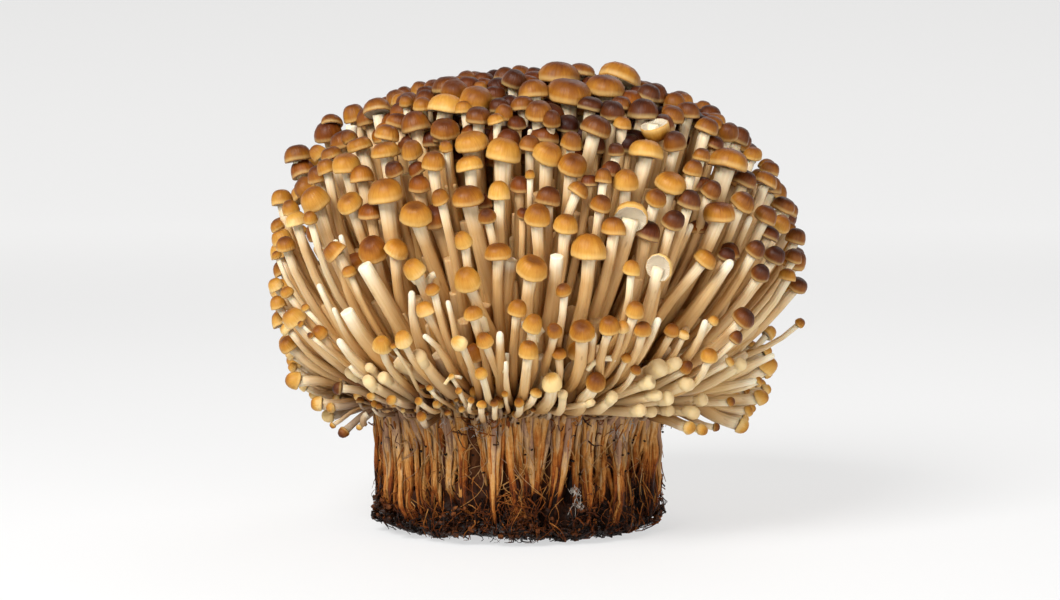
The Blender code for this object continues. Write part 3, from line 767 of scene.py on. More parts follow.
class Mushroom:
    """One mushroom: a stem's path from the matted root to its cap or its broken top."""

    def __init__(self, tip, width, tone, random, capped=True, lean=None, faces=None, club=False, axis=None):
        self.capped, self.width, self.tone, self.club = capped, width, tone, club
        angle = self.angle = crown_angle(tip)
        bearing = math.atan2(tip[1], tip[0])
        tilt = math.radians(at_angle(angle, TILT_AT_DEGREES) + random.normal(0, TILT_SPREAD))
        radial = np.array((math.cos(bearing), math.sin(bearing), 0))
        aside = np.array((-math.sin(bearing), math.cos(bearing), 0))
        up = np.array((0, 0, 1))
        grown = radial * math.sin(tilt) + up * math.cos(tilt) + aside * random.normal(0, SWAY_SPREAD)
        if lean is not None:
            seen = math.radians(lean)
            grown = np.array((math.sin(seen), min(radial[1], TOWARDS_EYE) * math.sin(tilt), math.cos(seen)))
        self.axis = unit(grown if axis is None else axis)
        nod = random.normal(0, NOD_SPREAD, 3)
        self.faces = unit(np.array(faces, float)) if faces else unit(self.axis + nod)
        girth = random.uniform(1 - STEM_VARY, 1 + STEM_VARY)
        self.stem = STEM_RADIUS * (width / STEM_CAP) ** STEM_POWER * girth if capped else width / 2
        if club:
            self.stem = CLUB_STEM * width
        elif capped and axis is None:
            self.stem = max(self.stem, width * at_angle(angle, LOW_STEM_AT_DEGREES))
        self.neck = tip - self.faces * (CAP_CENTRE * width if capped else 0)
        share = at_angle(angle, ROOT_SHARE_AT_DEGREES) * random.uniform(*ROOT_SHARE_DRAWN)
        root = radial * ROOT_RADIUS * share + up * ROOT_Z + aside * random.normal(0, ROOT_SPREAD)
        root[0] -= CROWN_X
        chord = unit(self.neck - root)
        reach = np.linalg.norm(self.neck - root)
        start_axis = unit(2 * np.dot(chord, self.axis) * chord - self.axis)
        start_axis[2] = max(start_axis[2], LEAST_RISE)
        first = root + unit(start_axis) * reach * BEND
        second = self.neck - self.axis * reach * BEND
        steps = np.linspace(0, 1, PATH_POINTS)
        self.path = bezier(root, first, second, self.neck, steps)
        sideways = random.normal(0, WAVE_SPREAD, 3)[None]
        swing = np.sin(2 * math.pi * steps * random.uniform(*WAVES_ALONG))[:, None]
        self.path = self.path + sideways * swing * (4 * steps * (1 - steps))[:, None]
        lengths = np.linalg.norm(np.diff(self.path, axis=0), axis=1)
        self.length = lengths.sum()
        self.mark = random.random()
        self.shape = random.random(6)
        self.pointed = not capped and (tip[0] > POINTED_FROM or width < POINTED_WIDTH)

    def balls(self):
        """Balls up the stem to the neck, and two for the cap: centres, radii, which are the cap's."""
        steps = np.linspace(PATH_POINTS * LOWEST_BALL, PATH_POINTS - 1, BALLS_ON_STEM).astype(int)
        centres, radii = self.path[steps], np.full(BALLS_ON_STEM, self.stem)
        if self.capped:
            caps = self.neck + self.faces * self.width * np.array(CAP_BALL_HEIGHTS)[:, None]
            centres = np.vstack((centres, caps))
            radii = np.append(radii, self.width * np.array(CAP_BALL_RADII))
        return centres, radii, np.arange(len(radii)) >= BALLS_ON_STEM


class Crowd:
    """All that has been placed, as balls, and how far a new mushroom would run into them."""

    def __init__(self):
        self.centres = np.zeros((0, 3))
        self.radii = np.zeros(0)
        self.caps = np.zeros(0, bool)

    def add(self, mushroom):
        centres, radii, caps = mushroom.balls()
        self.centres = np.vstack((self.centres, centres))
        self.radii = np.append(self.radii, radii)
        self.caps = np.append(self.caps, caps)

    def cost(self, mushroom):
        """Sum of the depths in metres by which balls run into each other, most of all cap into cap."""
        centres, radii, caps = mushroom.balls()
        middle = centres.mean(axis=0)
        near = np.abs(self.centres - middle).max(axis=1) < NEARBY
        others, sizes, capped = self.centres[near], self.radii[near], self.caps[near]
        if not len(others):
            return 0.0
        apart = np.linalg.norm(centres[:, None] - others[None], axis=2)
        both, either = caps[:, None] & capped[None], caps[:, None] | capped[None]
        weight = np.where(both, 1.0, np.where(either, CAP_ON_STEM, STEM_ON_STEM))
        run_in = np.clip((radii[:, None] + sizes[None]) * TOUCH - apart, 0, None)
        return float((run_in * weight).sum())


def seen_from_eye(centres):
    """Where points appear on the plane y = 0 from the eye, with the scale that their size takes there."""
    points = centres + (CROWN_X, 0, 0)
    scale = EYE[1] / (EYE[1] - points[:, 1])
    return EYE[[0, 2]] + (points - EYE)[:, [0, 2]] * scale[:, None], scale


def true_size(tip):
    """The size of a thing at the tip for each unit that it takes up on the plane y = 0."""
    return 1 / float(seen_from_eye(tip[None])[1][0])


class Shown:
    """The parts of the placed caps and stems that the photographed side shows, which fillers stay behind."""

    def __init__(self, mushrooms):
        places, sizes, depths = [], [], []
        for one in mushrooms:
            centres, radii, caps = one.balls()
            below = np.linalg.norm(centres - one.neck, axis=1)
            shown = caps | (below < SHOWN_STEM * smooth_step(*SHOWN_FADE_Z, one.neck[2]) + SHOWN_LEAST)
            flat, scale = seen_from_eye(centres)
            places.append(flat[shown])
            sizes.append((radii * scale)[shown])
            depths.append(centres[shown, 1])
        self.places, self.sizes, self.depths = map(np.concatenate, (places, sizes, depths))

    def hidden_by(self, mushroom):
        """Whether this mushroom would stand in front of what is shown."""
        centres, radii, caps = mushroom.balls()
        flat, scale = seen_from_eye(centres)
        apart = np.linalg.norm(flat[:, None] - self.places[None], axis=2)
        over = apart < COVER * ((radii * scale)[:, None] + self.sizes[None])
        before = centres[:, 1][:, None] < self.depths[None] + radii[:, None] * 0.5
        return bool((over & before).any())


def out_of_place(mushroom):
    """Whether this mushroom would hang over the root base as seen from the front, or fill the open air
    that shows beside the long bowed stems at the right."""
    flat, _ = seen_from_eye(mushroom.neck[None])
    (across, up), near = flat[0], mushroom.neck[1]
    low = abs(across) < FRONT_EDGE_X and up < FRONT_EDGE_Z and near < 0
    return bool(low or (across > OPEN_X and OPEN_Z[0] < up < OPEN_Z[1]))


def place_seen(random, crowd):
    """The mushrooms read from the front, largest first, each as near the crown's outline as it has room."""
    wanted = [(x, z, w, lean, tone, True, False, CAP_INSET * w) for x, z, w, lean, tone in SEEN_CAPS]
    for x, z, w, lean, tone in SEEN_PINS:
        club = tone <= CLUB_TONE and w < CLUB_WIDTH
        wanted.append((x, z, w * CLUB_SWELL if club else w, lean, tone, True, club, PIN_INSET))
    wanted += [(x, z, w, lean, 0.0, False, False, BROKEN_INSET) for x, z, w, lean in SEEN_BROKEN]
    wanted.sort(key=lambda row: -row[2] * (CAP_RANK if row[5] else BROKEN_RANK))
    placed = []
    for x, z, width, tone, faces in TURNED_CAPS:
        tip = sight(x, z, TURNED_INSET * width)
        one = Mushroom(tip, width * true_size(tip), tone, random, faces=faces)
        crowd.add(one)
        placed.append(one)
    for x, z, width, lean, tone, capped, club, inset in wanted:
        tried = []
        for deeper in np.arange(0, DEEPEST_SEEN, DEPTH_STEP):
            tip = sight(x, z, inset + deeper)
            one = Mushroom(tip, width * true_size(tip), tone, random, capped, lean, club=club)
            cost = crowd.cost(one) + deeper * DEPTH_COST
            tried.append((cost, len(tried), one))
            if crowd.cost(one) < CLEAR:
                break
        best = min(tried)[2]
        crowd.add(best)
        placed.append(best)
    return placed


def fill_crown(random, crowd, shown):
    """The other mushrooms: each is, of several drawn over the crown, the one with the most room."""
    area = crown_area()
    top_area = np.interp(TOP_ANGLE, OUTLINE_ANGLES, area)
    placed = []
    for k in range(FILLER_DRAWS):
        part = area[-1] if k % TOP_EVERY else top_area
        angle = np.interp(random.random(DRAWN) * part, area, OUTLINE_ANGLES)
        bearing = random.random(DRAWN) * 2 * math.pi
        spread = np.clip(random.normal(1, WIDTH_SPREAD, DRAWN), *WIDTH_LIMITS)
        width = at_angle(angle, WIDTH_AT_DEGREES) * spread
        inset = FILLER_INSET * width + DEEPEST_FILLER * random.random(DRAWN) ** DEPTH_POWER
        tips = towards_heart(crown_point(bearing, angle), inset[:, None])
        caps = crowd.centres[crowd.caps]
        sizes = crowd.radii[crowd.caps]
        apart = np.linalg.norm(tips[:, None] - caps[None], axis=2)
        room = (apart / (WIDTH_FOR_ROOM * width[:, None] + sizes[None])).min(axis=1)
        best = int(np.argmax(np.minimum(room, ROOM_ENOUGH) - ROOM_FOR_DEPTH * inset))
        tone = at_angle(angle[best], TONE_AT_DEGREES) + random.normal(0, TONE_SPREAD)
        tone = tone + TONE_TO_RIGHT * tips[best, 0]
        capped = random.random() > BROKEN_SHARE
        size = width[best] if capped else random.uniform(*BROKEN_WIDTHS)
        one = Mushroom(tips[best], size, float(np.clip(tone, 0, 1)), random, capped)
        if crowd.cost(one) > MOST_COST + COST_WITH_DEPTH * inset[best]:
            continue
        if one.neck[1] < FRONT_HALF and (out_of_place(one) or shown.hidden_by(one)):
            continue
        crowd.add(one)
        placed.append(one)
    return placed


def inner_stems(random):
    """Plain stems behind the others, all round the crown, which end under the caps."""
    placed = []
    area = crown_area()
    for k in range(INNER_COUNT):
        angle = np.interp((k + 0.5) / INNER_COUNT * area[-1] * INNER_SHARE, area, OUTLINE_ANGLES)
        bearing = golden(k) + random.normal(0, INNER_SPREAD)
        tip = towards_heart(crown_point(bearing, angle), random.uniform(*INNER_INSETS))
        placed.append(Mushroom(tip, random.uniform(*INNER_WIDTHS), 0.0, random, capped=False))
    return placed


def primordia(random):
    """Small stalks and pins that crowd round the neck between the stems' feet."""
    placed = []
    for k in range(PRIMORDIA):
        bearing = golden(k + random.uniform(-0.5, 0.5))
        radial = np.array((math.cos(bearing), math.sin(bearing), 0))
        high = random.random() ** 1.3
        tip = radial * (PRIMORDIA_RADIUS + PRIMORDIA_SPREAD * random.random() ** 0.7)
        tip = tip + (-CROWN_X, 0, PRIMORDIA_Z + PRIMORDIA_RISE * high)
        width = random.uniform(*PRIMORDIA_WIDTHS) + PRIMORDIA_WIDEN * high
        axis = unit(radial * random.uniform(0.1, 1.3) + (0, 0, 1) + random.normal(0, 0.20, 3))
        tone, capped = random.uniform(*PRIMORDIA_TONES), random.random() < PRIMORDIA_CAPPED
        placed.append(Mushroom(tip, width, tone, random, capped, axis=axis))
    return placed


def note_painted_shade(grown):
    """Gives each mushroom, ring by ring, how much of its view outwards its neighbours fill: its painted
    shade.
    """
    rows = np.linspace(0, PATH_POINTS - 1, STEM_RINGS).round().astype(int)
    points = gather(grown, "path")[:, rows].reshape(-1, 3)
    outward = unit(points - (0, 0, CROWD_MIDDLE_Z))
    areas = np.repeat(2 * gather(grown, "stem") * gather(grown, "length") / STEM_RINGS, STEM_RINGS)
    capped = [one for one in grown if one.capped]
    caps = gather(capped, "neck") + gather(capped, "faces") * gather(capped, "width")[:, None] * CAP_CENTRE
    sources = np.concatenate((points, caps))
    areas = np.concatenate((areas, math.pi / 4 * gather(capped, "width") ** 2))
    crowded = np.empty(len(points), np.float32)
    points, outward, sources, areas = (one.astype(np.float32) for one in (points, outward, sources, areas))
    reach = (sources**2).sum(axis=1)
    for first in range(0, len(points), CROWD_BLOCK):
        some = slice(first, first + CROWD_BLOCK)
        square = reach + (points[some] ** 2).sum(axis=1)[:, None] - 2 * points[some] @ sources.T
        ahead = outward[some] @ sources.T - (outward[some] * points[some]).sum(axis=1)[:, None]
        near = (square > CROWD_LEAST**2) & (square < CROWD_REACH**2) & (ahead > 0)
        square = np.maximum(square, CROWD_LEAST**2)
        crowded[some] = (near * ahead * areas / (square * np.sqrt(square))).sum(axis=1) / math.pi
    crowded = np.clip(crowded / CROWD_FULL, 0, 1).reshape(len(grown), STEM_RINGS)
    for one, values in zip(grown, crowded):
        # The painted shade is eased low on the skirt
        one.crowded = values * (1 - LOW_OPEN * smooth_step(*LOW_OPEN_ANGLES, one.angle))


@functools.lru_cache(maxsize=None)
def mushrooms():
    """Every mushroom of the cluster, those read from the front and then the fillers, then the inner stems
    and the small growth round the neck."""
    random = np.random.default_rng(SEED)
    crowd = Crowd()
    seen = place_seen(random, crowd)
    rest = fill_crown(random, crowd, Shown(seen))
    inner, small = inner_stems(random), primordia(random)
    note_painted_shade(seen + rest + inner + small)
    return tuple(seen + rest), tuple(inner), tuple(small)


def tuft_of(mushroom):
    """Index of the tuft that a mushroom belongs to: 0 is the middle one, the others go round."""
    point = mushroom.path[PATH_POINTS // 2]
    if np.hypot(point[0], point[1]) < MIDDLE_FLOOR_RADIUS + MIDDLE_SPREAD * (point[2] - BASE_TOP_Z):
        return 0
    share = (math.atan2(point[1], point[0]) / (2 * math.pi)) % 1
    return 1 + int(share * RING) % RING


# Meshes: grids of points joined into skins


class Skin:
    """Gathers closed tubes and domes, each a grid of rings with a pole at either end, into one mesh."""

    def __init__(self):
        self.points, self.quads, self.fans, self.quad_uv, self.fan_uv = [], [], [], [], []
        self.values, self.count = {}, 0

    def add(self, rings, start, end, along, **values):
        """rings (items, rings, sides, 3), poles start and end (items, 3), along (items, rings) for the UV
        map, and any further values (items,) or (items, rings) as point attributes."""
        items, rows, sides = rings.shape[:3]
        size = rows * sides + 2
        points = np.concatenate((rings.reshape(items, -1, 3), start[:, None], end[:, None]), axis=1)
        first = self.count + np.arange(items)[:, None, None] * size
        row, side = np.meshgrid(np.arange(rows - 1), np.arange(sides), indexing="ij")
        row, side = row.ravel(), side.ravel()
        after = (side + 1) % sides
        quad = np.stack((row * sides + side, row * sides + after), axis=1)
        quad = np.concatenate((quad, (quad + sides)[:, ::-1]), axis=1)
        self.quads.append((first + quad[None]).reshape(-1, 4))
        around = np.stack((side, side + 1, side + 1, side), axis=1) / sides
        along = np.broadcast_to(along, (items, rows))
        up = np.stack((along[:, row], along[:, row], along[:, row + 1], along[:, row + 1]), axis=2)
        self.quad_uv.append(np.stack((np.broadcast_to(around, up.shape), up), axis=-1).reshape(-1, 2))
        turn = np.arange(sides)
        after = (turn + 1) % sides
        low = np.stack((after, turn, np.full(sides, rows * sides)), axis=1)
        last = (rows - 1) * sides
        high = np.stack((last + turn, last + after, np.full(sides, rows * sides + 1)), axis=1)
        fans = np.concatenate((low, high))
        self.fans.append((first + fans[None]).reshape(-1, 3))
        low_u = np.stack((turn + 1, turn, turn + 0.5), axis=1) / sides
        high_u = np.stack((turn, turn + 1, turn + 0.5), axis=1) / sides
        u = np.broadcast_to(np.concatenate((low_u, high_u)), (items, 2 * sides, 3))
        ends = np.repeat(along[:, [0, -1]], sides, axis=1)[:, :, None]
        self.fan_uv.append(np.stack((u, np.broadcast_to(ends, u.shape)), axis=-1).reshape(-1, 2))
        self.points.append(points.reshape(-1, 3))
        for name, value in values.items():
            value = np.asarray(value, float)
            value = np.broadcast_to(value[:, None] if value.ndim == 1 else value, (items, rows))
            rows_first = np.repeat(value, sides, axis=1)
            full = np.concatenate((rows_first, value[:, [0, -1]]), axis=1)
            self.values.setdefault(name, []).append(full.ravel())
        self.count += items * size

    def finish(self, name, material, slot, nodes):
        """Makes the object, and declares what it rides on and the nodes it stands for. The slot is not used.
        """
        points = np.concatenate(self.points)
        quads, fans = np.concatenate(self.quads), np.concatenate(self.fans)
        mesh = bpy.data.meshes.new(name)
        mesh.vertices.add(len(points))
        mesh.vertices.foreach_set("co", points.astype(np.float32).ravel())
        mesh.loops.add(quads.size + fans.size)
        corners = np.concatenate((quads.ravel(), fans.ravel()))
        mesh.loops.foreach_set("vertex_index", corners.astype(np.int32))
        mesh.polygons.add(len(quads) + len(fans))
        starts = np.concatenate((np.arange(len(quads)) * 4, quads.size + np.arange(len(fans)) * 3))
        mesh.polygons.foreach_set("loop_start", starts.astype(np.int32))
        uv = mesh.uv_layers.new(name="Skin")
        uv.data.foreach_set("uv", np.concatenate(self.quad_uv + self.fan_uv).astype(np.float32).ravel())
        for key, value in self.values.items():
            layer = mesh.attributes.new(key, "FLOAT", "POINT")
            layer.data.foreach_set("value", np.concatenate(value).astype(np.float32))
        mesh.update(calc_edges=True)
        mesh.validate()
        mesh.shade_smooth()
        return declare(bpy.data.objects.new(name, mesh), material, nodes)


def declare(piece, material, nodes):
    """Puts a finished piece in the scene: its material, body and the nodes it stands for."""
    bpy.context.scene.collection.objects.link(piece)
    piece.data.materials.append(material)
    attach(piece, BODY)
    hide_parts(*nodes)
    return piece


def frames_along(paths):
    """Two directions across each path (items, points, 3), carried along it without twisting."""
    ahead = unit(np.gradient(paths, axis=1))
    across = np.cross(ahead[:, 0], ASLANT)
    kept = np.empty_like(ahead)
    for k in range(paths.shape[1]):
        direction = ahead[:, k]
        across = unit(across - direction * (across * direction).sum(axis=1, keepdims=True))
        kept[:, k] = across
    return kept, np.cross(ahead, kept)


def spokes(across, beside, sides):
    """Directions once round a ring: cos turn * across + sin turn * beside."""
    turn = circle(sides)[:, None]
    return across[..., None, :] * np.cos(turn) + beside[..., None, :] * np.sin(turn)


def tubes(skin, paths, radii, sides, along, wobble=0.0, **values):
    """Round tubes: each ring is centre + radius * spokes."""
    size = radii[:, :, None, None] * (1 + np.asarray(wobble))
    rings = paths[:, :, None] + spokes(*frames_along(paths), sides) * size
    skin.add(rings, paths[:, 0], paths[:, -1], along, **values)


def gather(chosen, name):
    """One value of each of the chosen mushrooms, as an array."""
    return np.array([getattr(one, name) for one in chosen])


def gather_all(chosen, *names):
    """Several values of each of the chosen mushrooms, as numbers by name."""
    return {name: gather(chosen, name).astype(float) for name in names}


# Mushrooms


def grow_stems(piece_name, chosen, material, nodes, fresh=1.0, sides=STEM_SIDES):
    """Stems: tubes that swell from a thin foot and thin again a little under the cap. A broken one ends
    in a flat cut or tapers to a torn point, as white as fresh says."""
    skin = Skin()
    for capped in (True, False):
        some = [one for one in chosen if one.capped == capped]
        if not some:
            continue
        steps = np.linspace(0, 1, STEM_RINGS)
        rows = np.linspace(0, PATH_POINTS - 1, STEM_RINGS)
        low = np.floor(rows).astype(int)
        high = np.minimum(low + 1, PATH_POINTS - 1)
        share = (rows - low)[None, :, None]
        whole = gather(some, "path") + (CROWN_X, 0, 0)
        paths = whole[:, low] * (1 - share) + whole[:, high] * share
        lengths = gather(some, "length")
        thick = FOOT_SHARE + (1 - FOOT_SHARE) * smooth_step(0, 1, lengths[:, None] * steps / FOOT_LENGTH)
        thick = thick + STEM_SWELL * np.sin(math.pi * steps) - STEM_THIN * smooth_step(0.6, 0.95, steps)
        if capped:
            thick = thick + STEM_JOIN * smooth_step(0.90, 1.0, steps)
        radii = gather(some, "stem")[:, None] * thick
        crowded = gather(some, "crowded")
        along = lengths[:, None] * (1 - steps)[None] * 100
        if not capped:
            axis = gather(some, "axis")
            pointed = gather(some, "pointed")[:, None].astype(float)
            radii = radii * (1 - POINTED_TAPER * pointed * smooth_step(0.72, 1.0, steps))
            ends = radii[:, -1:]
            for (flat_rise, flat), (sharp_rise, sharp) in zip(FLAT_TOP, POINTED_TOP):
                rise = flat_rise + (sharp_rise - flat_rise) * pointed
                centre = paths[:, STEM_RINGS - 1] + axis * ends * rise
                paths = np.concatenate((paths, centre[:, None]), axis=1)
                radii = np.concatenate((radii, ends * (flat + (sharp - flat) * pointed)), axis=1)
                along, crowded = (np.concatenate((one, one[:, -1:]), axis=1) for one in (along, crowded))
        turn = circle(sides)
        phase = gather(some, "mark")[:, None, None] * 2 * math.pi
        level = np.linspace(0, 1, paths.shape[1])[None, :, None]
        wobble = STEM_OVAL * np.cos(2 * turn[None, None] + phase + 1.5 * level)
        wobble = wobble + STEM_LUMP * np.sin(3 * turn[None, None] + 7 * level + 5 * phase)
        values = gather_all(some, "mark", "club")
        values |= {"broken": np.full(len(some), 0.0 if capped else fresh), "crowded": crowded}
        tubes(skin, paths, radii, sides, along, wobble[..., None], **values)
    return skin.finish(piece_name, material, "mushroom_flesh", nodes)


def grow_scraps(material):
    """Short pieces of broken stem, cut flat at both ends, that lie caught between the stems."""
    skin = Skin()
    for k, (x, z, width, length, lean, bend) in enumerate(SCRAPS):
        middle = sight(x, z, SCRAP_INSET) + (CROWN_X, 0, 0)
        size = true_size(middle - (CROWN_X, 0, 0))
        seen = math.radians(lean)
        axis = np.array((math.sin(seen), 0.15, math.cos(seen)))
        aside = np.array((math.cos(seen), 0, -math.sin(seen)))
        steps, thick = SCRAP_PROFILE
        path = middle + axis * (steps * length * size)[:, None]
        path = path + aside * (bend * size * (steps * 2) ** 2)[:, None]
        path[1] = path[1] - axis * 0.00008
        wobble = 0.06 * np.cos(2 * circle(SCRAP_SIDES) + k)
        tubes(
            skin,
            path[None],
            (thick * width * size / 2)[None],
            SCRAP_SIDES,
            (0.5 - steps)[None],
            wobble[None, None, :, None],
            mark=np.array((k * 0.37 % 1,)),
            broken=np.array((0.7,)),
            # A little painted shade
            crowded=np.array((0.15,)),
            club=np.array((0.3,)),
        )
    return skin.finish("loose_pieces", material, "mushroom_flesh", TUFT_NODES)


def cap_kind(mushroom):
    """A club's head runs on from its stem, and a small cap is a round button."""
    if mushroom.club:
        return "club"
    return "button" if mushroom.width < BUTTON_WIDTH else "cap"


def grow_caps(piece_name, chosen, material, nodes):
    """Caps: a gilled underside, an in-rolled rim and a dome, as one profile of radius and height in cap
    widths turned about the cap's axis. Small caps are rounder buttons, and no two are quite round."""
    skin = Skin()
    for kind, profile in (("cap", CAP_PROFILE), ("button", BUTTON_PROFILE), ("club", CLUB_PROFILE)):
        some = [one for one in chosen if one.capped and cap_kind(one) == kind]
        if not some:
            continue
        small = kind != "cap"
        sides = BUTTON_SIDES if small else CAP_SIDES
        width = gather(some, "width")[:, None]
        shape = gather(some, "shape")
        under = np.array(profile)
        dome = np.radians(BUTTON_DOME if small else CAP_DOME)
        low, high = CAP_HEIGHTS
        button = smooth_step(*BUTTON_FROM_WIDTH, width[:, 0])[:, None]
        height = low + (high - low) * shape[:, :1] + BUTTON_RISE * button
        brow = under[-1, 1]
        full = CAP_FULLNESS[0] + (CAP_FULLNESS[1] - CAP_FULLNESS[0]) * shape[:, 1:2]
        each = np.ones((len(some), 1))
        radius = np.concatenate((each * under[:, 0], 0.5 * np.cos(dome)[None] ** full), axis=1)
        rise = np.concatenate((each * under[:, 1], brow + (height - brow) * np.sin(dome)[None]), axis=1)
        steps = np.concatenate((under[:, 2], RIM_AT + (1 - RIM_AT) * dome / (math.pi / 2)))
        dent = (shape[:, 5:6] > 1 - DENTED_SHARE) * DENT_DEPTH
        rise = rise - dent * smooth_step(0.80, 1.0, steps)[None]
        faces, neck = gather(some, "faces"), gather(some, "neck") + (CROWN_X, 0, 0)
        across = unit(np.cross(faces, ASLANT))
        beside = np.cross(faces, across)
        turn = circle(sides)
        out = spokes(across, beside, sides)
        phase = shape[:, 2:3] * 2 * math.pi
        oval = CAP_OVAL * np.cos(2 * turn[None] + phase) + CAP_LUMP * np.cos(3 * turn[None] + 3 * phase)
        oval = oval + CAP_LUMP * 0.6 * np.cos(5 * turn[None] + 7 * phase)
        size = width[:, :, None] * radius[:, :, None] * (1 + oval[:, None])
        tilt = CAP_TIP * np.cos(turn[None] + 2 * phase) * radius[:, :, None].max()
        wave = CAP_WAVE * np.cos(3 * turn[None] + 5 * phase)
        lift = rise[:, :, None] + (tilt + wave)[:, None] * (radius / 0.5)[:, :, None] ** 2
        rings = neck[:, None, None] + out[:, None] * size[..., None]
        rings = rings + faces[:, None, None] * (width[:, :, None] * lift)[..., None]
        start = neck + faces * width * under[0, 1]
        top = height[:, 0] - dent[:, 0] * DENT_POLE
        end = neck + faces * width * top[:, None]
        along = np.broadcast_to(steps, (len(some), len(steps)))
        values = gather_all(some, "tone", "mark", "club")
        values |= {"dent": dent[:, 0] / DENT_DEPTH, "crowded": gather(some, "crowded")[:, -1]}
        skin.add(rings, start, end, along, **values)
    return skin.finish(piece_name, material, "mushroom_flesh", nodes)


def grow_crowded_stems(material):
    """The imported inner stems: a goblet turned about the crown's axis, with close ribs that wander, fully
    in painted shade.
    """
    rows, columns = CROWDED_GRID
    level = np.linspace(0, 1, rows)
    turn = circle(columns)
    z = BASE_TOP_Z - CROWDED_SUNK + (INNER_TOP_Z - BASE_TOP_Z + CROWDED_SUNK) * np.sin(level * math.pi / 2)
    rise = (z - z[0]) / (z[-1] - z[0])
    body = INNER_FOOT + (INNER_RADIUS - INNER_FOOT) * smooth_step(0.0, 0.75, rise)
    body = body * np.sqrt(np.clip(1 - smooth_step(0.55, 1.0, rise) ** 2 * 0.999, 0, 1))
    grid = turn[None] + 0.05 * np.sin(9 * level)[:, None]
    rib = np.abs(np.sin(INNER_RIBS / 2 * grid + 1.2 * np.sin(4 * grid + 5 * level[:, None])))
    radius = body[:, None] + INNER_RIB_DEPTH * (rib - 1) * smooth_step(0, 0.02, body)[:, None]
    points = np.stack(
        (CROWN_X + radius * np.cos(grid), radius * np.sin(grid), np.broadcast_to(z[:, None], grid.shape)),
        axis=-1,
    )
    skin = Skin()
    along = np.broadcast_to((INNER_TOP_Z - z) * 100, (1, rows))
    start, end = np.array([(CROWN_X, 0, z[0])]), np.array([(CROWN_X, 0, z[-1])])
    none = np.zeros(1)
    # Full painted shade
    skin.add(points[None], start, end, along, mark=none + 0.5, broken=none, crowded=none + 1, club=none)
    return skin.finish("crowded_stems", material, "mushroom_flesh", TUFT_NODES)


# Root base


def ripple(points, waves, size, seed):
    """Smooth lumps from about -1 to 1: the sum of many plane waves of about one size, in random ways."""
    random = np.random.default_rng(seed)
    ways = unit(random.normal(0, 1, (waves, 3))) * (2 * math.pi / size)
    ways = ways * random.uniform(0.6, 1.5, (waves, 1))
    phases = random.random(waves) * 2 * math.pi
    return np.sin(points @ ways.T + phases).sum(axis=-1) / math.sqrt(waves / 2) * 0.7


def rim_lift(turn):
    """How far the foot's lower rim stands off the floor: only its middle rests on it."""
    return RIM_LIFT + 0.0012 * np.sin(3 * turn + 0.6) + 0.0008 * np.sin(7 * turn + 2.0)


def base_radius(turn, z):
    """Radius of the strands' bed: bundles down the foot that wander and close up towards the floor."""
    wander = turn + 0.04 * np.sin(5 * turn + 90 * z) + 0.02 * np.sin(11 * turn - 170 * z)
    bundles = np.sin(15 * wander + 1.1) * 0.6 + np.sin(26 * wander + 2.3 + 40 * z) * 0.4
    return np.interp(z, *BASE_OUTLINE) + 0.0008 * bundles


def round_trip(bearing, radius, z):
    """Points by their bearing and radius round the base's axis, and their height."""
    return np.stack((radius * np.cos(bearing), radius * np.sin(bearing), z), axis=-1)


def hollows(bearing, z):
    """How far a place on the foot lies in one of its hollows, from 0 to 1: a sum of soft spots."""
    inside = np.zeros(np.broadcast(bearing, z).shape)
    for middle, high, wide, tall in HOLLOWS:
        turn = np.angle(np.exp(1j * (bearing - math.radians(middle))))
        inside = inside + np.exp(-((turn / math.radians(wide)) ** 2) - ((z - high) / tall) ** 2)
    return np.clip(inside * 1.3, 0, 1)


def grow_root_body(material):
    """The foot's dark heart: a turned profile from the flat spot out to the raised rim and up, all of it
    lumpy by ripple."""
    rows, columns = BODY_GRID
    turn = circle(columns)[None]
    level = np.linspace(0, 1, rows)[:, None]
    bed, z = np.interp(level, *BODY_BED), np.interp(level, *BODY_HEIGHTS)
    z = z + (rim_lift(turn) - RIM_LIFT) * smooth_step(0.24, 0.36, level) * (1 - smooth_step(0.5, 0.8, level))
    radius = bed * base_radius(turn, z)
    points = round_trip(turn, radius, z)
    rough = smooth_step(0.20, 0.34, level)
    push = sum(deep * ripple(points, BODY_WAVES, size, seed) for deep, size, seed in BODY_RIPPLES)
    out = unit(points * (1, 1, 0.0) + (0, 0, 1e-9))
    push = push * rough * (1.3 - 0.9 * smooth_step(0.008, 0.018, z))
    points = points + out * (push - HOLLOW_DEPTH * hollows(turn, z))[..., None]
    points[..., 2] = np.maximum(points[..., 2] + push * 0.4, 0)
    skin = Skin()
    start, end = np.array([(0.0, 0.0, 0.0)]), np.array([(0.0, 0.0, float(z[-1].mean()))])
    skin.add(points[None], start, end, np.broadcast_to(level.T, (1, rows)))
    return skin.finish("root_body", material, "matted_root", ["root_base"])


def bundle_rule(random, count):
    """Bundles round the foot: bearing, half width, how proud of the bed, wander and end height of each."""
    spacing = 2 * math.pi / count
    return {
        "bearing": (np.arange(count) + random.uniform(-0.33, 0.33, count)) * spacing,
        "half": spacing * random.uniform(0.50, 0.85, count),
        "proud": random.uniform(-0.0026, 0.0010, count),
        "wander": random.normal(0, 0.30, count) * spacing,
        "end": np.where(random.random(count) < 0.75, 0.0010, random.uniform(0.002, 0.010, count)),
        "tone": random.normal(0, 0.10, count),
    }


def grow_threads(name, material, paths, size, sides, along, wobble=0.0, **values):
    """Threads of the root base, as one piece."""
    skin = Skin()
    tubes(skin, paths, size, sides, along, wobble, **values)
    return skin.finish(name, material, "matted_root", ["root_base"])


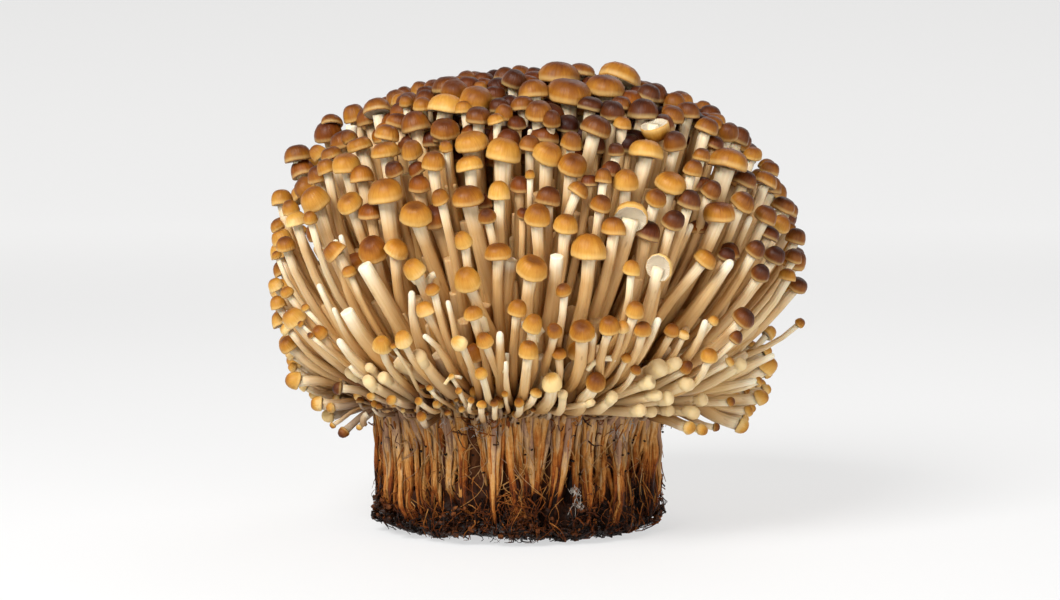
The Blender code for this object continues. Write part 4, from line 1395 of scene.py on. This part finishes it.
def grow_strands(name, material, each, sunk, sizes, shade, seed):
    """Root strands: tubes that start side by side at the neck and draw together in bundles to the rim.
    A strand lies across its bundle by u from -1 to 1, and the bundle's middle stands proud by 1 - u*u."""
    random = np.random.default_rng(seed)
    bundles = bundle_rule(np.random.default_rng(SEED + 3), BUNDLES)
    count = BUNDLES * each
    column = (count, 1)
    rule = {key: np.repeat(value, each)[:, None] for key, value in bundles.items()}
    across = random.uniform(-1, 1, column)
    steps = np.linspace(0, 1, STRAND_RINGS)[None]
    narrow = np.interp(steps, *BUNDLE_WIDTHS)
    bearing = rule["bearing"] + rule["wander"] * steps**1.5 + rule["half"] * across * narrow
    stray = random.normal(0, 0.010, column)
    bearing = bearing + stray * np.sin(steps * random.uniform(3, 10, column))
    high = NECK_Z + random.uniform(-0.003, 0.0072, column)
    low = rule["end"] + random.exponential(0.0016, column)
    z = high + (low + rim_lift(bearing) * 0.8 - high) * steps
    radius = base_radius(bearing, z) - random.uniform(*sunk, column)
    proud = rule["proud"] + BUNDLE_ROUND * (1 - across**2) - 0.0006
    radius = radius + proud * smooth_step(0.08, 0.5, steps)
    radius = radius + 0.0004 * np.sin(steps * 11 + rule["bearing"] * 40 + across * 5)
    radius = radius + random.uniform(-0.001, NECK_FLARE, column) * smooth_step(0.20, 0.0, steps) ** 2
    radius = radius - 0.0030 * smooth_step(0.80, 1.0, steps)
    hollow_sink_and_shade = hollows(bearing, z)
    radius = radius - HOLLOW_DEPTH * hollow_sink_and_shade
    paths = round_trip(bearing, radius, z)
    size = random.uniform(*sizes, column)
    size = size * (1 - 0.50 * steps**1.5) * (1 + 0.18 * np.sin(steps * 23 + across * 60))
    size = size * (1 - 0.45 * smooth_step(0.14, 0.0, steps))
    phase = random.random((count, 1, 1)) * 6
    flute = 0.22 * np.cos(2 * circle(STRAND_SIDES)[None, None] + phase + steps[..., None] * 3)
    # Painted shade: inner strands, and strands deep in the hollows, are darker
    tone = rule["tone"] + random.normal(-shade, 0.13, column) - 0.35 * hollow_sink_and_shade
    values = {"mark": random.random(count), "tone": tone}
    along = (high - z) * 100
    return grow_threads(name, material, paths, size, STRAND_SIDES, along, flute[..., None], **values)


def grow_hairs(material):
    """Fine root hairs that cross the bundles on a slant, and lift off the bed at their ends."""
    random = np.random.default_rng(SEED + 8)
    around = random.random(HAIRS) * 2 * math.pi
    bearing = np.concatenate((around, random.normal(*HAIR_FAN_BEARING, HAIR_FAN)))
    heights = random.uniform(*HAIR_HEIGHTS, HAIRS)
    start_z = np.concatenate((heights, random.uniform(*HAIR_FAN_HEIGHTS, HAIR_FAN)))
    count = HAIRS + HAIR_FAN
    column = (count, 1)
    steps = np.linspace(0, 1, HAIR_RINGS)[None]
    slant = random.normal(0, 0.10, column)
    fall = random.uniform(0.003, 0.013, column)
    curl = random.normal(0, 0.05, column) * np.sin(steps * random.uniform(2, 7, column))
    turn = bearing[:, None] + slant * steps + curl
    z = np.maximum(start_z[:, None] - fall * steps, 0.0012)
    lift = random.uniform(0.0, 0.0013, column) * steps**2
    radius = base_radius(turn, z) - random.uniform(-0.0006, 0.0022, column) + lift
    size = random.uniform(0.00010, 0.00026, column) * (1 - 0.6 * steps)
    values = {"tone": random.normal(0.10, 0.14, count), "mark": random.random(count)}
    paths = round_trip(turn, radius, z)
    return grow_threads("root_hairs", material, paths, size, HAIR_SIDES, fall * 100 * steps, **values)


def grow_felt(material):
    """Short curled root ends, matted together along the lower rim, round the left corner's lump and, in
    patches, round the neck."""
    random = np.random.default_rng(SEED + 12)
    column = (FELT, 1)
    bearing = random.random(FELT) * 2 * math.pi
    kind = random.random(FELT)
    corner, neck = kind < FELT_CORNER_SHARE, kind > 1 - FELT_NECK_SHARE
    bearing = np.where(corner, random.normal(*FELT_CORNER, FELT), bearing)
    patch = np.radians(random.choice(FELT_NECK_DEGREES, FELT))
    bearing = np.where(neck, random.normal(patch, 0.13), bearing)[:, None]
    corner, neck = corner[:, None], neck[:, None]
    z = rim_lift(bearing) + random.exponential(0.0034, column) - 0.0012 + 0.0014 * corner
    z = np.where(neck, random.normal(0.0345, 0.0028, column), z)
    steps = np.linspace(0, 1, FELT_RINGS)[None]
    length = random.uniform(0.0015, 0.0052, column) * (1 - 0.45 * corner)
    slope = random.normal(-0.35, 0.75, column)
    aside = np.where(random.random(column) < 0.5, -1, 1) * np.cos(slope) * length
    bends = random.normal(0, 0.0007, (FELT, 3))
    turn = bearing + (aside * steps + bends[:, :1] * np.sin(4 * steps)) / BASE_RADIUS
    up = z + np.sin(slope) * length * steps + bends[:, 1:2] * np.sin(5 * steps)
    up = np.maximum(up, FELT_LEAST_Z)
    sunk = random.uniform(-0.0008, 0.0030, column) - 0.0004 * corner
    sunk = sunk - 0.0040 * neck * random.random(column)
    radius = base_radius(turn, up) - sunk - HOLLOW_DEPTH * 0.7 * hollows(turn, up)
    radius = radius - 0.0040 * smooth_step(0.0040, 0.0, up) + bends[:, 2:] * np.sin(3 * steps)
    size = random.uniform(0.00012, 0.00034, column) * (1 - 0.5 * steps)
    values = {"tone": random.normal(-0.02, 0.15, FELT) - 0.55 * neck[:, 0], "mark": random.random(FELT)}
    paths = round_trip(turn, radius, up)
    return grow_threads("root_felt", material, paths, size, HAIR_SIDES, length * 100 * steps, **values)


def grow_down(material):
    """White mould threads in small tufts on the bed: each thread curls out from its tuft."""
    random = np.random.default_rng(SEED + 9)
    tufts = [(math.atan2(-math.sqrt(BASE_RADIUS**2 - x * x), x), z, spread) for x, z, spread in DOWN_TUFTS]
    tufts += [(b, z, 0.002) for b, z in zip(random.uniform(0.2, 2.9, 9), random.uniform(0.006, 0.036, 9))]
    bearing, high, spread = (np.repeat(part, DOWN_THREADS)[:, None] for part in np.array(tufts).T)
    count = len(bearing)
    column = (count, 1)
    steps = np.linspace(0, 1, FELT_RINGS)[None]
    at = random.normal(0, 1, (count, 2)) * spread
    way = random.normal(0, 1, (count, 2)) * 0.0011
    bend = random.normal(0, 0.0005, (count, 2))
    side = at[:, :1] + way[:, :1] * steps + bend[:, :1] * np.sin(3 * steps)
    z = np.maximum(high + at[:, 1:] * 0.7 + way[:, 1:] * steps + bend[:, 1:] * np.sin(4 * steps), 0.0010)
    turn = bearing + side / BASE_RADIUS
    radius = base_radius(turn, z) + random.uniform(-0.0016, 0.0010, column) + 0.0006 * np.sin(3 * steps)
    size = random.uniform(0.00005, 0.00010, column) * (1 - 0.3 * steps)
    mark, paths = random.random(count), round_trip(turn, radius, z)
    return grow_threads("root_down", material, paths, size, DOWN_SIDES, steps, mark=mark)


def lumps(skin, centres, sizes, seed, sides, rows, rough, squash, **values):
    """Small rough clods: spheres whose radius swells and dips by ripple."""
    tip = np.linspace(0, math.pi, rows + 2)[1:-1]
    turn = circle(sides)
    way = np.stack(
        (
            np.sin(tip)[:, None] * np.cos(turn),
            np.sin(tip)[:, None] * np.sin(turn),
            -np.cos(tip)[:, None] * np.ones(sides) * squash,
        ),
        axis=-1,
    )
    rings = centres[:, None, None] + way[None] * sizes[:, None, None, None]
    push = np.clip(1 + rough * ripple(rings, CLOD_WAVES, float(sizes.mean()) * 1.6, seed), 0.35, 1.7)
    rings = centres[:, None, None] + way[None] * (sizes[:, None, None] * push)[..., None]
    pole = np.array((0, 0, squash))
    start, end = centres - pole * sizes[:, None], centres + pole * sizes[:, None]
    random = np.random.default_rng(seed)
    along = np.broadcast_to(tip / math.pi, (len(sizes), rows))
    skin.add(rings, start, end, along, mark=random.random(len(sizes)), **values)


def grow_clods(material):
    """Wet crumbs of soil along the lower rim, a raised lump of them at the left corner, a heap at the
    front, and small beads caught between the strands."""
    random = np.random.default_rng(SEED + 5)
    bearing = random.random(CLODS) * 2 * math.pi
    z = rim_lift(bearing) + random.exponential(0.0020, CLODS) - 0.0024
    radius = base_radius(bearing, z) - random.uniform(-0.0002, 0.0046, CLODS)
    radius = radius - 0.0045 * smooth_step(0.0040, 0.0, z)
    sizes = random.uniform(0.0003, 0.0010, CLODS) * smooth_step(0.016, 0.002, z)
    sizes = np.maximum(sizes, 0.00025)
    centres = [round_trip(bearing, radius, np.maximum(z, sizes * 0.8))]
    sizes = [sizes]
    for middle, spread, count, largest in CLOD_HEAPS:
        centres.append(np.array(middle) + np.clip(random.normal(0, 1, (count, 3)), -1.5, 1.5) * spread)
        sizes.append(random.uniform(0.3, 1.0, count) * largest)
        centres[-1][:, 2] = np.maximum(centres[-1][:, 2], sizes[-1] * 0.8)
    bearing, z = random.random(BEADS) * 2 * math.pi, random.uniform(0.018, 0.034, BEADS)
    centres.append(round_trip(bearing, base_radius(bearing, z) + random.uniform(-0.0012, 0.0010, BEADS), z))
    sizes.append(random.uniform(0.0002, 0.0005, BEADS))
    skin = Skin()
    centres, sizes = np.concatenate(centres), np.concatenate(sizes)
    tone = np.where(np.arange(len(sizes)) >= len(sizes) - BEADS, -0.9, random.normal(0, 0.14, len(sizes)))
    lumps(skin, centres, sizes, 21, sides=7, rows=3, rough=0.62, squash=0.8, tone=tone)
    return skin.finish("root_clods", material, "matted_root", ["root_base"])


# Materials


class Signal:
    """A socket whose value changes over a surface; Python's operators on it add Math nodes."""

    def __init__(self, paint, socket):
        self.paint, self.socket = paint, socket

    def __add__(self, other):
        return self.paint.maths("ADD", self, other)

    def __sub__(self, other):
        return self.paint.maths("SUBTRACT", self, other)

    def __mul__(self, other):
        return self.paint.maths("MULTIPLY", self, other)

    def __radd__(self, other):
        return self.paint.maths("ADD", other, self)

    def __rsub__(self, other):
        return self.paint.maths("SUBTRACT", other, self)

    def sine(self):
        return self.paint.maths("SINE", self)

    def between(self, low, high, first=0.0, last=1.0):
        """first below low, last above high, and smooth between."""
        settings = {"interpolation_type": "SMOOTHSTEP"}
        sockets = {0: self, 1: low, 2: high, 3: first, 4: last}
        return self.paint.node("ShaderNodeMapRange", settings, sockets)


class Paint:
    """A new material and the nodes that feed its shader. A colour may be given as #RRGGBB."""

    def __init__(self, name):
        self.material = bpy.data.materials.new(name)
        self.material.use_nodes = True
        self.tree = self.material.node_tree
        self.shader = self.tree.nodes["Principled BSDF"]

    def feed(self, socket, value):
        """Links a signal to a socket, or sets the socket's own value."""
        if isinstance(value, str):
            value = linear(value)
        if isinstance(value, Signal):
            self.tree.links.new(value.socket, socket)
        else:
            socket.default_value = (*value, 1) if socket.type == "RGBA" and len(value) == 3 else value

    def node(self, kind, settings=None, sockets=None, output=0):
        """Adds one node: its settings first, then the values or links of its sockets."""
        made = self.tree.nodes.new(kind)
        for key, value in (settings or {}).items():
            if key == "stops":
                self.set_stops(made.color_ramp, value)
            else:
                setattr(made, key, value)
        for key, value in (sockets or {}).items():
            self.feed(made.inputs[key], value)
        return Signal(self, made.outputs[output])

    @staticmethod
    def set_stops(ramp, stops):
        """The ramp's stops, as (position, colour)."""
        while len(ramp.elements) < len(stops):
            ramp.elements.new(1.0)
        for element, (position, colour) in zip(ramp.elements, stops):
            element.position = position
            element.color = (*(linear(colour) if isinstance(colour, str) else colour), 1)

    def maths(self, operation, *values):
        return self.node("ShaderNodeMath", {"operation": operation}, dict(enumerate(values)))

    def attribute(self, name):
        return self.node("ShaderNodeAttribute", {"attribute_name": name}, output=2)

    def parts(self, vector, count):
        """The first two or three parts of a vector."""
        node = self.node("ShaderNodeSeparateXYZ", sockets={0: vector}).socket.node
        return [Signal(self, node.outputs[k]) for k in range(count)]

    def place(self):
        """Object coordinates, as a vector and its three parts."""
        whole = self.node("ShaderNodeTexCoord", output=3)
        return whole, self.parts(whole, 3)

    def around_and_along(self):
        """The piece's own UV map, as how far round and how far along."""
        return self.parts(self.node("ShaderNodeUVMap", {"uv_map": "Skin"}), 2)

    def vector(self, x, y, z):
        return self.node("ShaderNodeCombineXYZ", sockets={0: x, 1: y, 2: z})

    def noise(self, vector, scale, detail=2.0, rough=0.5):
        sockets = {"Vector": vector, "Scale": scale, "Detail": detail, "Roughness": rough}
        return self.node("ShaderNodeTexNoise", sockets=sockets)

    def ramp(self, value, stops):
        return self.node("ShaderNodeValToRGB", {"stops": stops}, {0: value})

    def mix(self, share, first, second, blend="MIX"):
        """The second colour over the first by a share, in the way that blend names."""
        settings = {"data_type": "RGBA", "blend_type": blend}
        return self.node("ShaderNodeMix", settings, {0: share, 6: first, 7: second}, output=2)

    def tint(self, share, colour, tint):
        """The colour multiplied by a tint, as far as share says."""
        return self.mix(share, colour, self.mix(1.0, colour, tint, "MULTIPLY"))

    def bump(self, height, distance, strength=1.0):
        sockets = {"Height": height, "Distance": distance, "Strength": strength}
        return self.node("ShaderNodeBump", sockets=sockets)

    def finish(self, **sockets):
        """Feeds the shader: an underscore stands for a space in a socket's name."""
        for key, value in sockets.items():
            self.feed(self.shader.inputs[key.replace("_", " ")], value)
        return self.material


def turn_of(paint, around):
    """Round a tube as a circle's two coordinates, so that a pattern has no seam."""
    angle = around * (2 * math.pi)
    return angle.sine(), paint.maths("COSINE", angle)


def paint_caps(look):
    """Satin cap flesh: golden at the rim to red-brown at the top, cream margin, pale gills beneath, and
    painted shade where neighbours crowd round the cap.
    """
    paint = Paint("cap_flesh")
    around, along = paint.around_and_along()
    tone, mark = paint.attribute("tone"), paint.attribute("mark")
    crowded, dent = paint.attribute("crowded"), paint.attribute("dent")
    place, (_, _, up) = paint.place()
    dome = along.between(RIM_AT, 1.0)
    patches = paint.noise(place, 230, 2.0)
    grain = paint.noise(place, 1500, 3.0, 0.6)
    x, y = turn_of(paint, around)
    rays = paint.noise(paint.vector(x * 5, y * 5, along * 2 + mark * 30), 1.6, 2.0)
    position = tone + up.between(0.095, 0.122) * 0.05 + dome * 0.34 - 0.24
    position = position + (patches - 0.5) * 0.34 + (rays - 0.5) * 0.18 + (mark - 0.5) * 0.10
    # Painted shade: deeper on the ramp and tinted browner where the cap is crowded
    skin = paint.ramp(position + crowded * 0.12, CAP_STOPS)
    skin = paint.tint(crowded * 0.8, skin, PAINTED_SHADE_TINT)
    club = paint.attribute("club")
    skin = paint.mix(club * 0.7, skin, CLUB_COLOUR)
    skin = paint.mix(dent * along.between(0.74, 0.96) * 0.5, skin, "#5A3218")
    margin = along.between(RIM_AT - 0.10, RIM_AT - 0.03) * along.between(RIM_AT + 0.09, RIM_AT - 0.03)
    colour = paint.mix(margin * 0.36, skin, look.margin_colour)
    gills = (around * (2 * math.pi * GILLS)).sine() * 0.5 + 0.5
    gill_colour = paint.mix(gills, "#BFA780", look.gill_colour)
    below = along.between(RIM_AT - 0.08, RIM_AT - 0.15) * (1.0 - club)
    colour = paint.mix(below, colour, gill_colour)
    height = (grain - 0.5) * 0.5 + (rays - 0.5) * 1.4 + gills * below * 1.2
    return paint.finish(
        Base_Color=colour,
        Roughness=0.43 + (grain - 0.5) * 0.22 + (patches - 0.5) * 0.18,
        Normal=paint.bump(height, 0.00012),
        Subsurface_Weight=0.08,
        Subsurface_Radius=(1.0, 0.55, 0.25),
        Subsurface_Scale=0.0016,
        Specular_IOR_Level=0.20,
    )


def paint_stems(look):
    """Stem flesh: cream, palest under the cap and tan at the foot, with fine fibres and bruises. Painted
    shade makes it browner where neighbours crowd round it."""
    paint = Paint("stem_flesh")
    around, along = paint.around_and_along()
    mark, broken = paint.attribute("mark"), paint.attribute("broken")
    place, (east, north, up) = paint.place()
    x, y = turn_of(paint, around)
    crowded = paint.attribute("crowded")
    reach = paint.maths("SQRT", east * east + north * north)
    fibres = paint.noise(paint.vector(x * 1.7, y * 1.7, along * 0.35 + mark * 40), 2.0, 3.0, 0.55)
    patches = paint.noise(place, 130, 2.0)
    level = up * (1 / 0.12) + reach.between(0.044, 0.070) * 0.34
    level = level + (patches - 0.5) * 0.16 + (mark - 0.5) * 0.22
    flesh = paint.ramp(level, STEM_STOPS)
    near_cap = along.between(0.9, 0.1)
    flesh = paint.mix(near_cap * 0.55, flesh, look.stem_colour)
    fibre_tint = paint.ramp(fibres, ((0.25, (0.88, 0.80, 0.66)), (0.6, (1, 1, 1))))
    flesh = paint.mix(1.0, flesh, fibre_tint, "MULTIPLY")
    flesh = paint.mix(paint.attribute("club") * 0.80, flesh, CLUB_COLOUR)
    # Painted shade between neighbours
    flesh = paint.tint(crowded * 0.85, flesh, PAINTED_SHADE_TINT)
    # The feet are brown, and browner still with painted shade where they are crowded
    feet = (crowded * 0.6 + 0.4) * up.between(0.061, 0.042) * reach.between(0.060, 0.047)
    flesh = paint.tint(feet * 0.85, flesh, BROWN_FEET_AND_SHADE_TINT)
    spots = paint.noise(paint.vector(x * 0.6, y * 0.6, along * 1.1 + mark * 90), 1.4, 3.0)
    bruise = spots.between(0.66, 0.76) * 0.5
    flesh = paint.mix(bruise, flesh, "#8F5E2C")
    fresh = broken * along.between(0.32, 0.04)
    flesh = paint.mix(fresh * 0.60, flesh, "#F1EBD4")
    return paint.finish(
        Base_Color=flesh,
        Roughness=0.48 + (fibres - 0.5) * 0.3,
        Specular_IOR_Level=0.35,
        Normal=paint.bump(fibres, 0.00035, 0.8),
        Subsurface_Weight=0.22,
        Subsurface_Radius=(1.0, 0.6, 0.3),
        Subsurface_Scale=0.0018,
    )


def paint_roots(name, stops, wet, streaked=True):
    """Root fibre: tan at the neck, orange-brown below, near black and wet at the floor, and streaked along
    each strand."""
    paint = Paint(name)
    around, along = paint.around_and_along()
    tone, mark = paint.attribute("tone"), paint.attribute("mark")
    place, (east, north, up) = paint.place()
    patches = paint.noise(place, 170, 3.0, 0.6)
    grain = paint.noise(place, 1100, 3.0, 0.65)
    drawn = paint.noise(paint.vector(east, north, up * 0.10), 900, 3.0, 0.6)
    level = up * (1 / 0.038) + (patches - 0.5) * 0.60 + (grain - 0.5) * 0.40 + tone
    level = level + (drawn - 0.5) * 0.4
    height = grain * 0.6 + patches * 0.4 + drawn * 1.2
    if streaked:
        x, y = turn_of(paint, around)
        streaks = paint.noise(paint.vector(x * 1.4, y * 1.4, along * 0.8 + mark * 60), 1.8, 3.0, 0.6)
        level = level + (streaks - 0.5) * 0.55
        height = height + streaks * 1.6
    colour = paint.ramp(level, stops)
    return paint.finish(
        Base_Color=colour,
        Roughness=level.between(0.05, 0.45, wet, 0.75),
        Specular_IOR_Level=0.16,
        Normal=paint.bump(height, 0.00045, 0.9),
    )


def paint_down():
    """Mould threads: dull white."""
    paint = Paint("root_down")
    place, _ = paint.place()
    colour = paint.ramp(paint.noise(place, 400), ((0.3, "#857B70"), (0.7, "#C4BCB1")))
    return paint.finish(Base_Color=colour, Roughness=0.8)


def paint_stage(look):
    """Backdrop: painted light, a glow that is white at the floor and fades to pale grey up the wall. The far
    floor glows more, since less of the lights reaches it, and the glow lightens the shadows on the floor."""
    paint = Paint("backdrop")
    _, (_, north, up) = paint.place()
    glow = paint.mix(north.between(0.55, 1.6), look.floor_glow, look.far_floor_glow)
    glow = paint.mix(up.between(0.0, 0.40), glow, look.wall_glow)
    return paint.finish(
        Base_Color=(0.30, 0.30, 0.30),
        Emission_Color=glow,
        Emission_Strength=1.0,
        Roughness=0.9,
        Specular_IOR_Level=0.1,
    )


# Stage


def make_backdrop(material):
    """A floor that sweeps up into a wall: a profile of floor, arc and wall, carried across."""
    arc = np.linspace(0, math.pi / 2, SWEEP_STEPS)
    floor = np.stack((np.array([-SWEEP_REACH, -1.0, 0.0]), np.zeros(3)), axis=1)
    bend = np.stack((SWEEP_START + SWEEP_RADIUS * np.sin(arc), SWEEP_RADIUS * (1 - np.cos(arc))), axis=1)
    wall = np.array([(SWEEP_START + SWEEP_RADIUS, SWEEP_TOP)])
    profile = np.concatenate((floor, bend, wall))
    across = np.linspace(-SWEEP_REACH, SWEEP_REACH, SWEEP_COLUMNS)
    x, row = np.meshgrid(across, np.arange(len(profile)), indexing="ij")
    points = np.stack((x, profile[row, 0], profile[row, 1]), axis=-1).reshape(-1, 3)
    rows = len(profile)
    first = (np.arange(len(across) - 1)[:, None] * rows + np.arange(rows - 1)[None]).ravel()
    faces = np.stack((first, first + rows, first + rows + 1, first + 1), axis=1)
    mesh = bpy.data.meshes.new("backdrop")
    mesh.from_pydata(points.tolist(), [], faces.tolist())
    mesh.shade_smooth()
    mesh.materials.append(material)
    backdrop = bpy.data.objects.new("backdrop", mesh)
    bpy.context.scene.collection.objects.link(backdrop)


def put_facing(name, data, place, aim):
    """Puts a light or a camera at its place, turned to its aim."""
    held = bpy.data.objects.new(name, data)
    held.location = place
    held.rotation_euler = (Vector(aim) - Vector(place)).to_track_quat("-Z", "Y").to_euler()
    bpy.context.scene.collection.objects.link(held)
    return held


def make_light(name, place, aim, size, power):
    """A white area light of a width and a height, which faces its aim."""
    lamp = bpy.data.lights.new(name, "AREA")
    lamp.shape = "RECTANGLE"
    lamp.size, lamp.size_y = size
    lamp.energy = power
    put_facing(name, lamp, place, aim)


def make_camera():
    """The camera at the photographed side, about level with the cluster's top and aimed at its middle."""
    lens = bpy.data.cameras.new("camera")
    lens.lens = LENS_MM
    lens.sensor_width = 36
    lens.clip_start, lens.clip_end = 0.01, 20
    bpy.context.scene.camera = put_facing("camera", lens, EYE, AIM)


def make_air(strength):
    """Even pale, slightly warm light from all round."""
    world = bpy.data.worlds.new("studio")
    world.use_nodes = True
    sky = world.node_tree.nodes["Background"]
    sky.inputs["Color"].default_value = AIR_COLOUR
    sky.inputs["Strength"].default_value = strength
    bpy.context.scene.world = world
    bpy.context.scene.view_settings.view_transform = "Standard"


# Add-on


class EnokiLook(bpy.types.PropertyGroup):
    """Sizes and colours of the cluster."""

    strands: bpy.props.IntProperty(
        name="Strands", description="Root strands in each of two layers", default=540
    )
    margin_colour: bpy.props.FloatVectorProperty(
        name="Cap margin", description="In-rolled rim of a cap", subtype="COLOR", default=linear("#EFD08A")
    )
    gill_colour: bpy.props.FloatVectorProperty(
        name="Gills", description="Gills under a cap", subtype="COLOR", default=linear("#EFE6D2")
    )
    stem_colour: bpy.props.FloatVectorProperty(
        name="Stem", description="Stem just under its cap", subtype="COLOR", default=linear("#EBE2CC")
    )


class EnokiStage(bpy.types.PropertyGroup):
    """Light and backdrop."""

    air: bpy.props.FloatProperty(name="Air light", description="Even light from all round", default=0.22)
    key: bpy.props.FloatProperty(name="Key light", description="Main soft light", default=17.0, unit="POWER")
    floor_glow: bpy.props.FloatVectorProperty(
        name="Floor", description="Glow of the floor", subtype="COLOR", default=(0.60, 0.60, 0.60)
    )
    far_floor_glow: bpy.props.FloatVectorProperty(
        name="Far floor",
        description="Glow of the floor's far end",
        subtype="COLOR",
        default=(0.702, 0.702, 0.702),
    )
    wall_glow: bpy.props.FloatVectorProperty(
        name="Wall", description="Glow of the wall", subtype="COLOR", default=(0.592, 0.592, 0.592)
    )


def by_tuft():
    """The mushrooms of each tuft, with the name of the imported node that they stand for."""
    grown = mushrooms()[0]
    return [(node, [one for one in grown if tuft_of(one) == k]) for k, node in enumerate(TUFT_NODES)]


class EnokiStems(bpy.types.Operator):
    """Grow the stems of every tuft"""

    bl_idname = "enoki.stems"
    bl_label = "Stems"

    def execute(self, context):
        material = paint_stems(context.scene.enoki_look)
        for node, chosen in by_tuft():
            grow_stems(node + "_stems", chosen, material, [node])
        _, inner, small = mushrooms()
        grow_stems("inner_stems", inner, material, TUFT_NODES, 0.0, HIDDEN_STEM_SIDES)
        grow_stems("primordia_stems", small, material, TUFT_NODES, 0.3, HIDDEN_STEM_SIDES)
        grow_scraps(material)
        grow_crowded_stems(material)
        return {"FINISHED"}


class EnokiCaps(bpy.types.Operator):
    """Grow the caps of every tuft"""

    bl_idname = "enoki.caps"
    bl_label = "Caps"

    def execute(self, context):
        material = paint_caps(context.scene.enoki_look)
        for node, chosen in by_tuft():
            grow_caps(node + "_caps", chosen, material, [node])
        grow_caps("primordia_caps", mushrooms()[2], material, TUFT_NODES)
        return {"FINISHED"}


class EnokiRootBase(bpy.types.Operator):
    """Grow the matted root base and its strands"""

    bl_idname = "enoki.root_base"
    bl_label = "Root base"

    def execute(self, context):
        look = context.scene.enoki_look
        grow_root_body(paint_roots("root_mat", BODY_STOPS, 0.45, streaked=False))
        fibre = paint_roots("root_fibre", STRAND_STOPS, 0.32)
        each = look.strands // BUNDLES
        grow_strands("root_inner_strands", fibre, each, (0.0016, 0.0034), (0.0004, 0.0010), 0.16, SEED + 1)
        grow_strands("root_strands", fibre, each, (0.0, 0.0014), (0.00034, 0.00105), 0.0, SEED + 2)
        grow_hairs(fibre)
        grow_felt(fibre)
        grow_down(paint_down())
        grow_clods(paint_roots("root_clod", CLOD_STOPS, 0.20, streaked=False))
        return {"FINISHED"}


class EnokiStudio(bpy.types.Operator):
    """Set the backdrop, lights and camera"""

    bl_idname = "enoki.studio"
    bl_label = "Studio"

    def execute(self, context):
        look = context.scene.enoki_stage
        make_backdrop(paint_stage(look))
        make_air(look.air)
        for name, place, aim, size, share in LIGHTS:
            make_light(name, place, aim, size, look.key * share)
        make_camera()
        return {"FINISHED"}


class EnokiPanel(bpy.types.Panel):
    """Buttons that grow the cluster piece by piece"""

    bl_idname = "ENOKI_PT_panel"
    bl_label = "Enoki cluster"
    bl_space_type = "VIEW_3D"
    bl_region_type = "UI"
    bl_category = "Enoki"

    def draw(self, context):
        for operator in OPERATORS:
            self.layout.operator(operator.bl_idname)
        for group in (context.scene.enoki_look, context.scene.enoki_stage):
            for name in group.__annotations__:
                self.layout.prop(group, name)


OPERATORS = (EnokiStems, EnokiCaps, EnokiRootBase, EnokiStudio)
CLASSES = (EnokiLook, EnokiStage, *OPERATORS, EnokiPanel)


def register():
    for one in CLASSES:
        bpy.utils.register_class(one)
    bpy.types.Scene.enoki_look = bpy.props.PointerProperty(type=EnokiLook)
    bpy.types.Scene.enoki_stage = bpy.props.PointerProperty(type=EnokiStage)


def unregister():
    del bpy.types.Scene.enoki_stage
    del bpy.types.Scene.enoki_look
    for one in reversed(CLASSES):
        bpy.utils.unregister_class(one)


def main():
    """Grows the whole cluster and its stage."""
    register()
    for thing in list(bpy.data.objects):
        if thing.name in ("Cube", "Light", "Camera"):
            bpy.data.objects.remove(thing, do_unlink=True)
    for operator in OPERATORS:
        group, name = operator.bl_idname.split(".")
        getattr(getattr(bpy.ops, group), name)()


if __name__ == "__main__":
    main()
